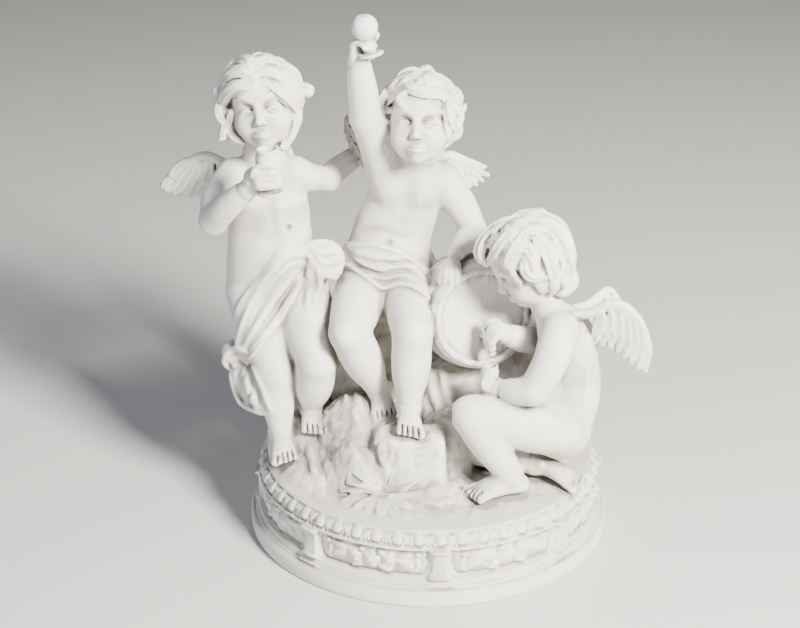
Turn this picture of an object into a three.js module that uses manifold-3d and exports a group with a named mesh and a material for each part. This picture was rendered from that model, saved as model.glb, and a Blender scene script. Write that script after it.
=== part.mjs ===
// A bisque porcelain figure group: three winged cupids drink round a barrel on a rocky mound,
// and the whole is fired as one piece with its round ornamental plinth.
// Millimetres, +Z up. The origin is the centre of the plinth's flat underside and -Y is the front.

import * as THREE from "three";
import { SimplifyModifier } from "three/addons/modifiers/SimplifyModifier.js";
import { mergeVertices } from "three/addons/utils/BufferGeometryUtils.js";
import Module from "manifold-3d";

const wasm = await Module();
wasm.setup();

// Driving dimensions of the plinth
const PLINTH_RADIUS = 125; // base band, the widest ring
const BAND_HEIGHT = 12;
const FRIEZE_RADIUS = 116; // recessed field of the panels
const FRIEZE_LOW = 17;
const FRIEZE_HIGH = 38;
const RIM_RADIUS = 119; // edge between the frieze and the egg moulding
const GROUND_RADIUS = 111;
const GROUND_LEVEL = 50;
const PANELS = 8;
const FRONT_UPRIGHT = THREE.MathUtils.degToRad(4); // it stands a little right of the front
const EGGS = 52;
const EGG_SWELL = 1.6;

// Driving dimensions of a cupid
const SKULL = [20.5, 24, 26]; // half sizes: across, front to back, up
const HAIR = [7, 5, 3]; // thickness over the skull: across, front to back, up
const CURLS = 7;
const PALM = [6.2, 7.5, 3.6];
const FINGER_LENGTHS = [9.5, 11, 11.5, 10.5];
const FINGER_PITCH = 2.9;
const TOES = 5;

// Facets of the finished solid, after the slivers left by joining are simplified away
const FACETS = 9900;
const PARTING = 0.06;

// Driving dimensions of the barrel
const BARREL = { front: [36, -22, 160], rear: [20, 28, 150], head: 29.5, chine: 33, belly: 37 };

// Small tools for points, directions and repeatable scatter
const vec = ([x, y, z]) => new THREE.Vector3(x, y, z);
const unit = (v) => vec(v).normalize();
const mix = THREE.MathUtils.lerp;
const between = (a, b, t) => a.map((value, i) => mix(value, b[i], t));
const steps = (count) => Array.from({ length: count }, (_, i) => i);
function scatter(n) {
  const s = Math.sin(n * 12.9898 + 4.1414) * 43758.5453;
  return s - Math.floor(s);
}

// A closed geometry becomes a solid that can be joined.
function solid(geometry) {
  const bare = geometry.clone();
  bare.deleteAttribute("normal");
  bare.deleteAttribute("uv");
  const merged = mergeVertices(bare, 1e-3);
  return new wasm.Manifold(
    new wasm.Mesh({
      numProp: 3,
      vertProperties: new Float32Array(merged.attributes.position.array),
      triVerts: new Uint32Array(merged.index.array),
    }),
  );
}

function meshed(points, faces) {
  const geometry = new THREE.BufferGeometry().setFromPoints(points);
  geometry.setIndex(faces);
  return solid(geometry);
}

// A closed skin from rings of points that share a count, with a point to close each end.
function skin(rings, first, last) {
  const sides = rings[0].length;
  const points = [first, ...rings.flat(), last];
  const faces = [];
  const at = (ring, side) => 1 + ring * sides + (side % sides);
  for (let side = 0; side < sides; side++) {
    faces.push(0, at(0, side + 1), at(0, side));
    for (let ring = 0; ring + 1 < rings.length; ring++) {
      faces.push(at(ring, side), at(ring, side + 1), at(ring + 1, side));
      faces.push(at(ring, side + 1), at(ring + 1, side + 1), at(ring + 1, side));
    }
    faces.push(at(rings.length - 1, side), at(rings.length - 1, side + 1), points.length - 1);
  }
  return meshed(points, faces);
}

// A rounded limb through stations [x, y, z, half width, half depth]. The depth is measured towards
// facing, and a station without one is round. Both ends close in a shallow dome.
function limb(stations, { sides = 10, perSpan = 2, facing = [0, -1, 0], dome = 0.7 } = {}) {
  const curve = new THREE.CatmullRomCurve3(stations.map(vec));
  const sizes = new THREE.CatmullRomCurve3(stations.map(([, , , w, d = w]) => new THREE.Vector3(w, d, 0)));
  const towards = unit(facing);
  const ring = (t, slide, share) => {
    const size = sizes.getPoint(t);
    const along = curve.getTangent(t);
    const across = new THREE.Vector3().crossVectors(towards, along).normalize();
    const out = new THREE.Vector3().crossVectors(along, across);
    const centre = curve.getPoint(t).addScaledVector(along, slide * Math.min(size.x, size.y));
    return steps(sides).map((i) => {
      const angle = (2 * Math.PI * i) / sides;
      return centre
        .clone()
        .addScaledVector(across, share * size.x * Math.cos(angle))
        .addScaledVector(out, share * size.y * Math.sin(angle));
    });
  };
  const spans = perSpan * (stations.length - 1);
  const rings = steps(spans + 1).map((i) => ring(i / spans, 0, 1));
  rings.unshift(ring(0, -dome * 0.7, 0.7));
  rings.push(ring(1, dome * 0.7, 0.7));
  return skin(rings, ring(0, -dome, 0)[0], ring(1, dome, 0)[0]);
}

// A thin slab across rails of points. Ridges run from the first rail to the last, so they are
// the feathers of a wing or the folds of a cloth. The slab faces towards facing.
function ridged(rails, { ridges, height, thickness, facing, scallop = 0 }) {
  const curves = rails.map((rail) => new THREE.CatmullRomCurve3(rail.map(vec)));
  const columns = 2 * ridges;
  const grid = curves.map((curve) => steps(columns + 1).map((i) => curve.getPoint(i / columns)));
  const towards = unit(facing);
  const normal = (row, i) => {
    const before = grid[row][Math.max(0, i - 1)];
    const after = grid[row][Math.min(columns, i + 1)];
    const upper = grid[Math.max(0, row - 1)][i];
    const lower = grid[Math.min(grid.length - 1, row + 1)][i];
    const out = new THREE.Vector3().crossVectors(after.clone().sub(before), lower.clone().sub(upper));
    return out.multiplyScalar(Math.sign(out.dot(towards)) || 1).normalize();
  };
  const lastRow = grid.length - 1;
  const front = grid.map((points, row) =>
    points.map((point, i) => {
      const reach = row === lastRow && i % 2 === 1 ? scallop : 0;
      const outer = point.clone().sub(grid[Math.max(0, row - 1)][i]).setLength(reach || 1e-6);
      const lift = thickness / 2 + (i % 2 === 1 ? height : 0);
      return point.clone().add(outer).addScaledVector(normal(row, i), lift);
    }),
  );
  const back = grid.map((points, row) =>
    points.map((point, i) => point.clone().addScaledVector(normal(row, i), -thickness / 2)),
  );
  const width = columns + 1;
  const half = width * grid.length;
  const faces = [];
  const quad = (a, b, c, d) => faces.push(a, b, c, a, c, d);
  for (let row = 0; row < lastRow; row++) {
    for (let i = 0; i < columns; i++) {
      const a = row * width + i;
      quad(a, a + 1, a + width + 1, a + width);
      quad(half + a, half + a + width, half + a + width + 1, half + a + 1);
    }
    const [start, end] = [row * width, row * width + columns];
    quad(start, start + width, half + start + width, half + start);
    quad(end, half + end, half + end + width, end + width);
  }
  for (let i = 0; i < columns; i++) {
    const low = lastRow * width + i;
    quad(i, half + i, half + i + 1, i + 1);
    quad(low, low + 1, half + low + 1, half + low);
  }
  const middle = Math.floor(width / 2);
  const rowRun = grid[0][middle].clone().sub(grid[0][middle - 1]);
  const railRun = grid[1][middle].clone().sub(grid[0][middle]);
  if (rowRun.cross(railRun).dot(towards) < 0) faces.reverse();
  return meshed([...front.flat(), ...back.flat()], faces);
}

// An ellipsoid with half sizes along its own axes.
function ball(centre, [rx, ry, rz], turn = new THREE.Quaternion(), round = 6) {
  const geometry = new THREE.SphereGeometry(1, round, Math.round(round * 0.7));
  geometry.rotateX(Math.PI / 2).scale(rx, ry, rz).applyQuaternion(turn);
  return solid(geometry.translate(...centre));
}

// A turn whose Y axis is forward and whose Z axis is as near up as it can be.
function stance(forward, up) {
  const ahead = unit(forward);
  const right = new THREE.Vector3().crossVectors(ahead, unit(up)).normalize();
  const above = new THREE.Vector3().crossVectors(right, ahead);
  return new THREE.Quaternion().setFromRotationMatrix(new THREE.Matrix4().makeBasis(right, ahead, above));
}
const carry = (local, centre, turn) => vec(local).applyQuaternion(turn).add(vec(centre)).toArray();
const heading = (local, turn) => vec(local).applyQuaternion(turn).toArray();

// A solid of revolution about +Z. Its profile of [radius, height] starts and ends on the axis.
function turned(profile, segments) {
  const points = profile.map(([r, h]) => new THREE.Vector2(r, h));
  return new THREE.LatheGeometry(points, segments).rotateX(Math.PI / 2);
}

// The face's swellings and hollows: [direction, height, sharpness]. Each side has its own.
const FEATURES = [
  [[0, 0.97, -0.2], 5, 70],
  [[0.36, 0.9, 0.06], -2.6, 34],
  [[-0.36, 0.9, 0.06], -2.6, 34],
  [[0.52, 0.72, -0.42], 2.4, 12],
  [[-0.52, 0.72, -0.42], 2.4, 12],
  [[0, 0.6, -0.8], 3.4, 18],
  [[0, 0.86, -0.46], 1.6, 120],
  [[0, 0.74, -0.62], -1.8, 90],
];
// Locks over the forehead and temples, as stations [right, forward, up, radius]
const FRINGE = [
  [[1, 8, 27, 5], [7, 18, 25, 6], [12, 22, 17, 3.4]],
  [[-1, 8, 27, 5], [-7, 19, 24, 6], [-13, 21, 18, 3.4]],
  [[10, 6, 25, 5], [19, 12, 19, 6], [21, 13, 8, 3.4]],
  [[-10, 6, 25, 5], [-19, 12, 19, 6], [-21, 13, 8, 3.4]],
];
const smooth = THREE.MathUtils.smoothstep;
const direction = (azimuth, elevation) => [
  Math.cos(elevation) * Math.cos(azimuth),
  Math.cos(elevation) * Math.sin(azimuth),
  Math.sin(elevation),
];

// A ball-like skin round a centre, from a function that gives the reach in each direction
function globe(around, high, place) {
  const rings = steps(high).map((row) => {
    const elevation = Math.PI * ((row + 1) / (high + 1) - 0.5);
    return steps(around).map((i) => place(direction((2 * Math.PI * i) / around, elevation)));
  });
  return skin(rings, place([0, 0, -1]), place([0, 0, 1]));
}

// A child's head looks along forward. Its hair is a cap of waved curls that leaves the face free.
function head({ at, forward, up, twist, strays }) {
  const turn = stance(forward, up);
  const put = (local) => vec(carry(local, at, turn));
  const skull = globe(30, 21, (way) => {
    const jaw = 1 - 0.24 * Math.max(0, -way[2]);
    let reach = 1 / Math.hypot(way[0] / (SKULL[0] * jaw), way[1] / SKULL[1], way[2] / SKULL[2]);
    FEATURES.forEach(([aim, height, sharpness]) => {
      reach += height * Math.exp(sharpness * (unit(aim).dot(vec(way)) - 1));
    });
    return put(way.map((value) => value * reach));
  });
  const hair = globe(36, 15, (way) => {
    const azimuth = Math.atan2(way[1], way[0]);
    const wave = Math.sin(CURLS * azimuth + 5 * twist * way[2]) * Math.sin(9 * way[2] + 2 * azimuth);
    const hairline = way[2] - 0.12 * Math.sin(5 * azimuth + twist);
    const opening = smooth(way[1], 0.15, 0.45) * (1 - smooth(hairline, 0.45, 0.68));
    const nape = 1 - 0.25 * smooth(-way[2], 0.4, 1);
    const shell = SKULL.map((size, i) => size + mix(HAIR[i] + 2.2 * wave, -6, opening));
    const reach = nape / Math.hypot(...way.map((value, i) => value / shell[i]));
    return put([way[0] * reach, way[1] * reach - 2, way[2] * reach + 1]);
  });
  const locks = [...FRINGE, ...strays].map((stations) =>
    limb(
      stations.map(([r, f, u, radius]) => [...put([r, f, u]).toArray(), radius]),
      { sides: 6, facing: heading([0.2, 1, 0.3], turn) },
    ),
  );
  return [skull, hair, ...locks];
}

// A hand: a palm, four fingers that bend towards the palm's side, and a thumb.
function hand({ at, along, palm, bend, thumb }) {
  const turn = stance(along, palm);
  const put = (local) => carry(local, at, turn);
  const fingers = FINGER_LENGTHS.map((length, i) => {
    const side = (i - 1.5) * FINGER_PITCH;
    const stations = [0, 0.5, 1].map((t) => {
      const angle = 0.6 * bend * t;
      const tip = [side, 7 + length * t * Math.cos(angle), length * t * Math.sin(angle)];
      return [...put(tip), mix(2.2, 1.6, t)];
    });
    return limb(stations, { sides: 6, facing: heading([0.7, 0, 0.7], turn) });
  });
  const thumbStations = [
    [...put([4 * thumb, 0, 1]), 2.6],
    [...put([8.5 * thumb, 5, 3.5]), 2.3],
    [...put([8 * thumb, 10, 5.5]), 1.6],
  ];
  const thumbLimb = limb(thumbStations, { sides: 4, facing: heading([0.2, 0, 1], turn) });
  return [ball(put([0, 3, 0]), PALM, turn), thumbLimb, ...fingers];
}

// A foot from heel to toes. big is 1 where the big toe is on the right of someone who looks along it.
function foot({ heel, toes, up = [0, 0, 1], big }) {
  const along = vec(toes).sub(vec(heel));
  const turn = stance(along.toArray(), up);
  const length = along.length();
  const put = (local) => carry(local, heel, turn);
  const sole = limb(
    [
      [...put([0, -4, 0]), 6, 5],
      [...put([0, length * 0.45, 1]), 7.5, 6.5],
      [...put([0, length, -2]), 9, 3.8],
    ],
    { facing: heading([0, 0, 1], turn) },
  );
  const row = steps(TOES).map((i) => {
    const size = i === 0 ? 3.1 : 2.4 - 0.1 * i;
    return ball(put([big * (6.2 - 3.2 * i), length + 2 - 0.9 * i, -2.4]), [size, size * 1.7, size], turn, 6);
  });
  return [sole, ...row];
}

// A goblet: foot, stem and bowl turned round its own axis.
function goblet({ base, up, scale = 1 }) {
  const profile = [[0, 0], [9, 0], [8.6, 2], [2.4, 5], [2.4, 9], [8.2, 16], [9, 22], [7.6, 27], [6.4, 26], [0, 18]];
  const geometry = turned(profile.map(([r, h]) => [r * scale, h * scale]), 8);
  const turn = new THREE.Quaternion().setFromUnitVectors(new THREE.Vector3(0, 0, 1), unit(up));
  return solid(geometry.applyQuaternion(turn).translate(...base));
}

// A wing between its leading edge and its feather tips, with a thick shoulder along the edge.
function wing({ edge, tips, facing, feathers = 7 }) {
  const middle = edge.map((point, i) => between(point, tips[i], 0.45));
  const thick = [5, 4.5, 4, 3.2, 2.4];
  return [
    limb(edge.map((point, i) => [...point, thick[i], 3]), { sides: 5, facing }),
    ridged([edge, middle, tips], { ridges: feathers, height: 1.8, thickness: 2.6, facing, scallop: 2.4 }),
  ];
}

// A point on the plinth's round side
const onSide = (angle, radius, height) => [radius * Math.sin(angle), -radius * Math.cos(angle), height];

function plinth() {
  const body = turned(
    [
      [0, 0],
      [PLINTH_RADIUS, 0],
      [PLINTH_RADIUS, BAND_HEIGHT - 3],
      [PLINTH_RADIUS - 2.5, BAND_HEIGHT],
      [RIM_RADIUS, BAND_HEIGHT + 1],
      [RIM_RADIUS, FRIEZE_LOW],
      [FRIEZE_RADIUS, FRIEZE_LOW],
      [FRIEZE_RADIUS, FRIEZE_HIGH],
      [RIM_RADIUS, FRIEZE_HIGH],
      [RIM_RADIUS, FRIEZE_HIGH + 2],
      [0, FRIEZE_HIGH + 2],
    ],
    40,
  );
  return [solid(body), eggMoulding(), ...frieze()];
}

// The egg moulding leans inwards from the rim to the ground and swells at every egg.
function eggMoulding() {
  const rings = [
    [RIM_RADIUS - 0.5, FRIEZE_HIGH + 1, 0],
    [RIM_RADIUS - 1.5, FRIEZE_HIGH + 6, 1],
    [GROUND_RADIUS + 2, GROUND_LEVEL, 0.4],
  ].map(([radius, height, share]) =>
    steps(2 * EGGS).map((i) => {
      const swell = i % 2 ? share * EGG_SWELL : -share * EGG_SWELL * 0.5;
      return vec(onSide((Math.PI * i) / EGGS, radius + swell, height + swell));
    }),
  );
  return skin(rings, new THREE.Vector3(0, 0, FRIEZE_HIGH), new THREE.Vector3(0, 0, GROUND_LEVEL - 1));
}

// Panels between flared uprights, each with a festoon and a rosette.
function frieze() {
  const half = Math.PI / PANELS;
  const middle = (FRIEZE_LOW + FRIEZE_HIGH) / 2;
  return steps(PANELS).flatMap((i) => {
    const upright = FRONT_UPRIGHT + 2 * half * i;
    const centre = upright + half;
    const post = limb(
      [
        [...onSide(upright, FRIEZE_RADIUS - 1, FRIEZE_LOW - 2), 8, 4],
        [...onSide(upright, FRIEZE_RADIUS - 1, middle), 4, 4],
        [...onSide(upright, FRIEZE_RADIUS - 1, FRIEZE_HIGH + 1), 6.5, 4],
      ],
      { sides: 4, facing: onSide(upright, 1, 0) },
    );
    const festoon = limb(
      [-0.7, -0.35, 0.35, 0.7].map((share) => {
        const rise = FRIEZE_HIGH - 15 + 22 * share * share;
        return [...onSide(centre + share * half, FRIEZE_RADIUS, rise), mix(3.6, 1, Math.abs(share)), 2.2];
      }),
      { sides: 4, facing: onSide(centre, 1, 0) },
    );
    const outward = stance(onSide(centre, 1, 0), [0, 0, 1]);
    const rosette = ball(onSide(centre, FRIEZE_RADIUS, FRIEZE_HIGH - 14), [5, 3, 5], outward, 4);
    return [post, festoon, rosette];
  });
}

// The earth, with the boulders that carry the figures and a ledge under the seated cupid's foot
const BOULDERS = [
  { at: [-34, 26, 104], size: [42, 38, 56] },
  { at: [8, 36, 92], size: [44, 36, 40] },
  { at: [16, 6, 84], size: [36, 30, 38] },
  { at: [54, 14, 92], size: [34, 34, 46] },
  { at: [-80, -6, 56], size: [34, 30, 24] },
  { at: [-64, -36, 50], size: [36, 28, 20] },
  { at: [-48, -20, 68], size: [28, 28, 32] },
  { at: [-12, -52, 64], size: [20, 22, 30] },
  { at: [-24, -62, 50], size: [26, 24, 14] },
  { at: [72, 34, 50], size: [48, 46, 24] },
];
function ground() {
  const dome = turned(
    [
      [0, FRIEZE_HIGH],
      [GROUND_RADIUS, FRIEZE_HIGH + 1],
      [GROUND_RADIUS, GROUND_LEVEL],
      [GROUND_RADIUS - 30, GROUND_LEVEL + 4],
      [0, GROUND_LEVEL + 6],
    ],
    30,
  );
  const boulders = BOULDERS.map(({ at, size }, n) => {
    const geometry = new THREE.IcosahedronGeometry(1, 1);
    geometry.deleteAttribute("normal");
    geometry.deleteAttribute("uv");
    const rock = mergeVertices(geometry, 1e-3);
    const place = rock.attributes.position;
    for (let i = 0; i < place.count; i++) {
      const bulge = 0.85 + 0.28 * scatter(n * 57 + i);
      const low = (FRIEZE_HIGH + 1 - at[2]) / size[2];
      place.setXYZ(i, place.getX(i) * bulge, place.getY(i) * bulge, Math.max(low, place.getZ(i) * bulge));
    }
    return solid(rock.scale(...size).translate(...at));
  });
  return [solid(dome), ...boulders];
}

// Long leaves spread over the ground in front of the ledge.
function leaves() {
  const crown = [-26, -84, 52];
  return steps(8).map((i) => {
    const angle = THREE.MathUtils.degToRad(mix(165, 335, i / 7));
    const length = 24 + 8 * scatter(i);
    const stations = [0, 0.5, 1].map((t, k) => [
      crown[0] + length * t * Math.cos(angle),
      crown[1] + 0.75 * length * t * Math.sin(angle),
      crown[2] + [1, 4, -1][k],
      [1.8, 3.6, 1][k],
      [1.6, 2, 1][k],
    ]);
    return limb(stations, { sides: 4, perSpan: 1, facing: [0, 0, 1] });
  });
}

// The barrel lies on the rock with its head to the front. Its tap is over the kneeling cupid's goblet.
function barrel() {
  const axis = vec(BARREL.rear).sub(vec(BARREL.front));
  const length = axis.length();
  const { head: headRadius, chine, belly } = BARREL;
  const geometry = turned(
    [
      [0, 3],
      [headRadius, 3],
      [headRadius, 0],
      [chine, 0],
      [chine + 2.4, length * 0.16],
      [chine + 1.4, length * 0.18],
      [belly, length * 0.5],
      [chine + 1.4, length * 0.82],
      [chine + 2.4, length * 0.84],
      [chine, length],
      [0, length],
    ],
    20,
  );
  const turn = new THREE.Quaternion().setFromUnitVectors(new THREE.Vector3(0, 0, 1), axis.normalize());
  const body = solid(geometry.applyQuaternion(turn).translate(...BARREL.front));
  return [
    body,
    limb([[38, -14, 148, 2.8], [41, -41, 147, 3]], { sides: 6, facing: [0, 0, 1] }),
    limb([[41, -38, 149, 2.8], [41, -39, 138, 2.4]], { sides: 6 }),
  ];
}

function standingCupid() {
  const elbowRight = [-141, -22, 228, 9];
  const elbowLeft = [-70, 40, 235, 8.4];
  return [
    limb(
      [
        [-106, 8, 156, 29, 20],
        [-107, 7, 180, 30, 20.5],
        [-107, 4, 205, 28, 19.5],
        [-107, 4, 230, 26, 17],
        [-110, 7, 248, 22, 12.5],
        [-110, 6, 257, 16, 10],
        [-110, 2, 276, 12, 11],
      ],
      { sides: 16, facing: [0.1, -1, 0] },
    ),
    ...head({
      at: [-111, -3, 303],
      forward: [0.3, -0.85, -0.42],
      up: [-0.16, -0.3, 0.94],
      twist: 1,
      strays: [
        [[-10, 15, 21, 6], [-21, 14, 18, 5], [-32, 12, 13, 2.6]],
        [[22, -2, 2, 7], [25, -4, -10, 6], [25, 0, -22, 3]],
      ],
    }),
    limb([[-89, -2, 300, 9], [-90, 0, 282, 9], [-97, 3, 262, 7]], { sides: 8 }),
    limb([[-132, 2, 296, 9], [-133, 6, 280, 9], [-125, 7, 262, 8]], { sides: 8 }),
    limb([[-129, 4, 250, 12], [-139, -7, 239, 10.6], elbowRight], { dome: 1 }),
    limb([elbowRight, [-130, -36, 243, 8.6], [-115, -47, 259, 6.4]]),
    ...hand({ at: [-110, -49, 263], along: [0.75, -0.1, 0.6], palm: [0.2, 0.9, 0.1], bend: 2.4, thumb: 1 }),
    goblet({ base: [-100, -52, 256], up: [-0.04, 0, 1], scale: 0.95 }),
    limb([[-90, 8, 250, 12], [-80, 22, 242, 9.4], elbowLeft], { dome: 1 }),
    limb([elbowLeft, [-62, 50, 240, 8], [-48, 60, 247, 6.8]]),
    ball([-42, 57, 250], [9, 6, 5]),
    ...leg({ hip: [-120, 8, 166], knee: [-104, -20, 120], ankle: [-101, -23, 72], calf: 11.6 }),
    ...foot({ heel: [-102, -19, 68], toes: [-97, -45, 68], big: 1 }),
    ...leg({ hip: [-87, 8, 166], knee: [-75, -28, 130], ankle: [-81, -12, 88], thigh: 19, calf: 13.6 }),
    ...foot({ heel: [-82, -8, 83], toes: [-77, -30, 82], big: -1 }),
    ...standingCloth(),
    ...wing({
      edge: [[-122, 16, 238], [-138, 22, 249], [-154, 28, 253], [-168, 30, 247], [-179, 30, 236]],
      tips: [[-132, 24, 229], [-145, 26, 227], [-158, 29, 225], [-170, 31, 227], [-179, 30, 231]],
      facing: [0.1, -1, 0.1],
    }),
    ...wing({
      edge: [[-98, 18, 238], [-95, 30, 250], [-97, 44, 254], [-101, 56, 248], [-104, 64, 238]],
      tips: [[-96, 26, 220], [-97, 36, 218], [-99, 47, 217], [-102, 57, 220], [-104, 64, 228]],
      facing: [1, 0, 0.1],
    }),
  ];
}

// A leg from hip to ankle, fullest at the thigh and again at the calf.
function leg({ hip, knee, ankle, thigh = 18, calf = 11, facing = [0, -1, 0] }) {
  const upper = [[...hip, thigh], [...between(hip, knee, 0.5), thigh - 1.5], [...knee, 13.4]];
  const lower = [
    [...knee, 12.6],
    [...between(knee, ankle, 0.35), calf],
    [...between(knee, ankle, 0.75), calf * 0.74],
    [...ankle, 7.4],
  ];
  return [limb(upper, { facing, dome: 0.8 }), limb(lower, { facing })];
}

// The sash is knotted at the left hip, sags over the right thigh and hangs down behind it.
function standingCloth() {
  const knot = [[-76, -12, 208], [-73, -17, 196], [-75, -16, 184]];
  const belly = [[-105, -19, 194], [-97, -25, 179], [-87, -24, 164]];
  const thigh = [[-125, -13, 173], [-114, -25, 158], [-100, -31, 148]];
  const gather = [[-133, 0, 148], [-130, -10, 138], [-119, -22, 126]];
  const fall = [[-137, -6, 118], [-131, -15, 113], [-117, -24, 112]];
  const hem = [[-131, -12, 97], [-122, -22, 92], [-110, -28, 93]];
  return [
    ridged([knot, belly, thigh, gather], { ridges: 5, height: 2.6, thickness: 6, facing: [-0.2, -1, 0.3] }),
    ridged([gather, fall, hem], { ridges: 4, height: 2.6, thickness: 5, facing: [-0.3, -1, 0], scallop: 1.5 }),
    ball([-130, -7, 132], [9, 9, 11], undefined, 8),
    limb([[-80, -6, 202, 6, 5], [-72, -4, 196, 10, 9], [-68, -4, 182, 7, 7], [-70, -4, 168, 3, 4]], { sides: 8 }),
    limb([[-72, -4, 199, 7], [-61, -2, 196, 7.5], [-58, 0, 184, 6], [-60, 0, 168, 3]], { sides: 8 }),
  ];
}

function seatedCupid() {
  const elbowRight = [-42, 6, 290, 10.6];
  const elbowLeft = [29.5, 28, 203, 8.6];
  return [
    limb(
      [
        [-30, 18, 158, 31, 21],
        [-29, 22, 184, 28.5, 20.5],
        [-24, 24, 208, 26, 19.5],
        [-16, 23, 232, 24, 17],
        [-13, 20, 249, 20, 12],
        [-11, 18, 257, 13, 10],
        [-8, 12, 274, 10, 10],
      ],
      { sides: 16, facing: [0.1, -1, 0.15] },
    ),
    ...head({
      at: [-6, 7, 288.5],
      forward: [0.04, -0.97, -0.16],
      up: [0.13, -0.14, 1],
      twist: -1,
      strays: [
        [[-19, 0, 12, 7], [-25, 2, 6, 5], [-30, 3, 9, 2.2]],
        [[20, 4, 6, 6], [25, 6, -2, 6], [22, 8, -10, 4]],
        [[-20, 0, 0, 6], [-24, 2, -8, 6], [-21, 4, -16, 4]],
      ],
    }),
    limb([[-28, 20, 242, 14], [-34, 15, 266, 12.6], elbowRight], { dome: 1 }),
    limb([elbowRight, [-44, -2, 311, 9.4], [-46, -9, 333, 7]]),
    ...hand({ at: [-47, -10, 336], along: [0.1, -0.1, 1], palm: [0.8, -0.6, 0.1], bend: 2.4, thumb: 1 }),
    goblet({ base: [-38, -16, 338], up: [-0.22, 0.05, 1], scale: 0.95 }),
    limb([[7, 24, 239, 13], [21, 28, 221, 10.4], elbowLeft], { dome: 1 }),
    limb([elbowLeft, [24, 14, 200, 8.6], [15, 0, 193, 6.6]]),
    ...hand({ at: [14, -3, 192], along: [-0.2, -0.6, -0.8], palm: [0.1, 0.7, -0.7], bend: 1, thumb: -1 }),
    ...leg({ hip: [-45, 16, 168], knee: [-53, -36, 155], ankle: [-34, -22, 106], calf: 13.6 }),
    ...foot({ heel: [-33, -17, 103], toes: [-30, -34, 95], up: [0, -0.5, 0.9], big: 1 }),
    ...leg({ hip: [-14, 16, 168], knee: [-11, -38, 155], ankle: [-13, -46, 106], calf: 13 }),
    ...foot({ heel: [-14, -42, 101], toes: [-12, -65, 99], big: -1 }),
    ...lapCloth(),
    ...wing({
      edge: [[-8, 33, 232], [7, 42, 248], [20, 46, 250], [30, 47, 245], [39, 46, 238]],
      tips: [[2, 36, 226], [14, 42, 227], [25, 45, 228], [33, 47, 230], [39, 46, 234]],
      facing: [0, -1, 0.1],
    }),
    ...wing({
      edge: [[-30, 38, 240], [-38, 44, 255], [-46, 50, 266], [-51, 54, 272], [-54, 58, 275]],
      tips: [[-42, 46, 238], [-49, 50, 244], [-54, 54, 252], [-57, 57, 260], [-56, 60, 268]],
      facing: [0.2, -1, 0.1],
    }),
  ];
}

// A strip of cloth lies across the lap.
function lapCloth() {
  const right = [[-60, 12, 200], [-62, 2, 192], [-61, -4, 182]];
  const overRight = [[-42, -2, 207], [-44, -14, 196], [-44, -20, 182]];
  const middle = [[-22, -2, 201], [-24, -12, 190], [-24, -15, 178]];
  const overLeft = [[-3, 2, 192], [-4, -8, 185], [-5, -16, 174]];
  const left = [[9, 16, 178], [10, 8, 170], [9, -2, 160]];
  return [
    ridged([right, overRight, middle, overLeft, left], {
      ridges: 4,
      height: 2.4,
      thickness: 6,
      facing: [0, -0.6, 0.8],
    }),
  ];
}

function kneelingCupid() {
  const elbowNear = [68, -65, 128, 9.8];
  const elbowFar = [72, -18, 142, 9];
  return [
    limb(
      [
        [86, -36, 70, 22, 18],
        [90, -36, 90, 23, 22.5],
        [94, -35, 114, 21.5, 20.5],
        [93, -34, 136, 21, 19],
        [87, -34, 157, 20, 16],
        [80, -34, 169, 14, 12],
        [70, -34, 188, 10, 10],
      ],
      { sides: 16, facing: [-1, 0, 0.2] },
    ),
    ...head({
      at: [64.5, -36, 207],
      forward: [-0.84, -0.12, -0.52],
      up: [-0.5, -0.1, 0.86],
      twist: 1,
      strays: [
        [[-8, 4, 26, 8], [-4, 18, 24, 9], [-2, 28, 18, 8], [-2, 34, 8, 4]],
        [[8, 6, 26, 7], [7, 18, 22, 8], [6, 26, 17, 6]],
        [[-19, -6, -6, 8], [-15, -16, -14, 8], [-8, -22, -24, 6]],
        [[0, -24, 0, 7], [-2, -26, -12, 8], [0, -24, -24, 6]],
      ],
    }),
    limb([[85, -50, 164, 12.6], [78, -62, 146, 11.2], elbowNear], { facing: [-1, 0, 0], dome: 1 }),
    limb([elbowNear, [57, -61, 125, 8.6], [48, -54, 123, 6.6]]),
    ...hand({ at: [47, -53, 123], along: [-0.9, 0.3, 0], palm: [-0.2, 0.3, 0.9], bend: 2.2, thumb: 1 }),
    goblet({ base: [40, -47, 119], up: [0, 0, 1], scale: 0.74 }),
    limb([[80, -16, 162, 11.6], [77, -13, 152, 10], elbowFar], { facing: [-1, 0, 0], dome: 1 }),
    limb([elbowFar, [60, -28, 148, 8.4], [50, -34, 154, 6.8]]),
    ...hand({ at: [49, -35, 155], along: [-0.85, -0.35, 0.1], palm: [0, 0.2, -1], bend: 2.4, thumb: -1 }),
    ...leg({ hip: [90, -48, 88], knee: [28, -62, 108], ankle: [53, -69, 69], thigh: 20.5, calf: 12.6, facing: [0, -1, 0.4] }),
    ...foot({ heel: [58, -68, 60], toes: [31, -74, 57], big: 1 }),
    ...leg({ hip: [88, -28, 82], knee: [29, -42, 73], ankle: [84, -37, 61], calf: 12.4, facing: [0, 0, 1] }),
    ...foot({ heel: [87, -36, 60], toes: [102, -34, 54], up: [1, 0, 0.6], big: 1 }),
    ...wing({
      edge: [[98, -44, 160], [106, -48, 173], [118, -50, 178], [133, -52, 174], [143, -54, 158]],
      tips: [[111, -46, 150], [120, -48, 149], [128, -51, 146], [136, -53, 140], [143, -54, 138]],
      facing: [0.15, -1, 0.1],
    }),
    ...wing({
      edge: [[94, -22, 159], [101, -14, 168], [110, -8, 173], [119, -4, 171], [126, -2, 160]],
      tips: [[101, -16, 146], [108, -12, 143], [115, -8, 141], [122, -4, 141], [127, -2, 148]],
      facing: [0.3, -1, 0.1],
    }),
  ];
}

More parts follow.
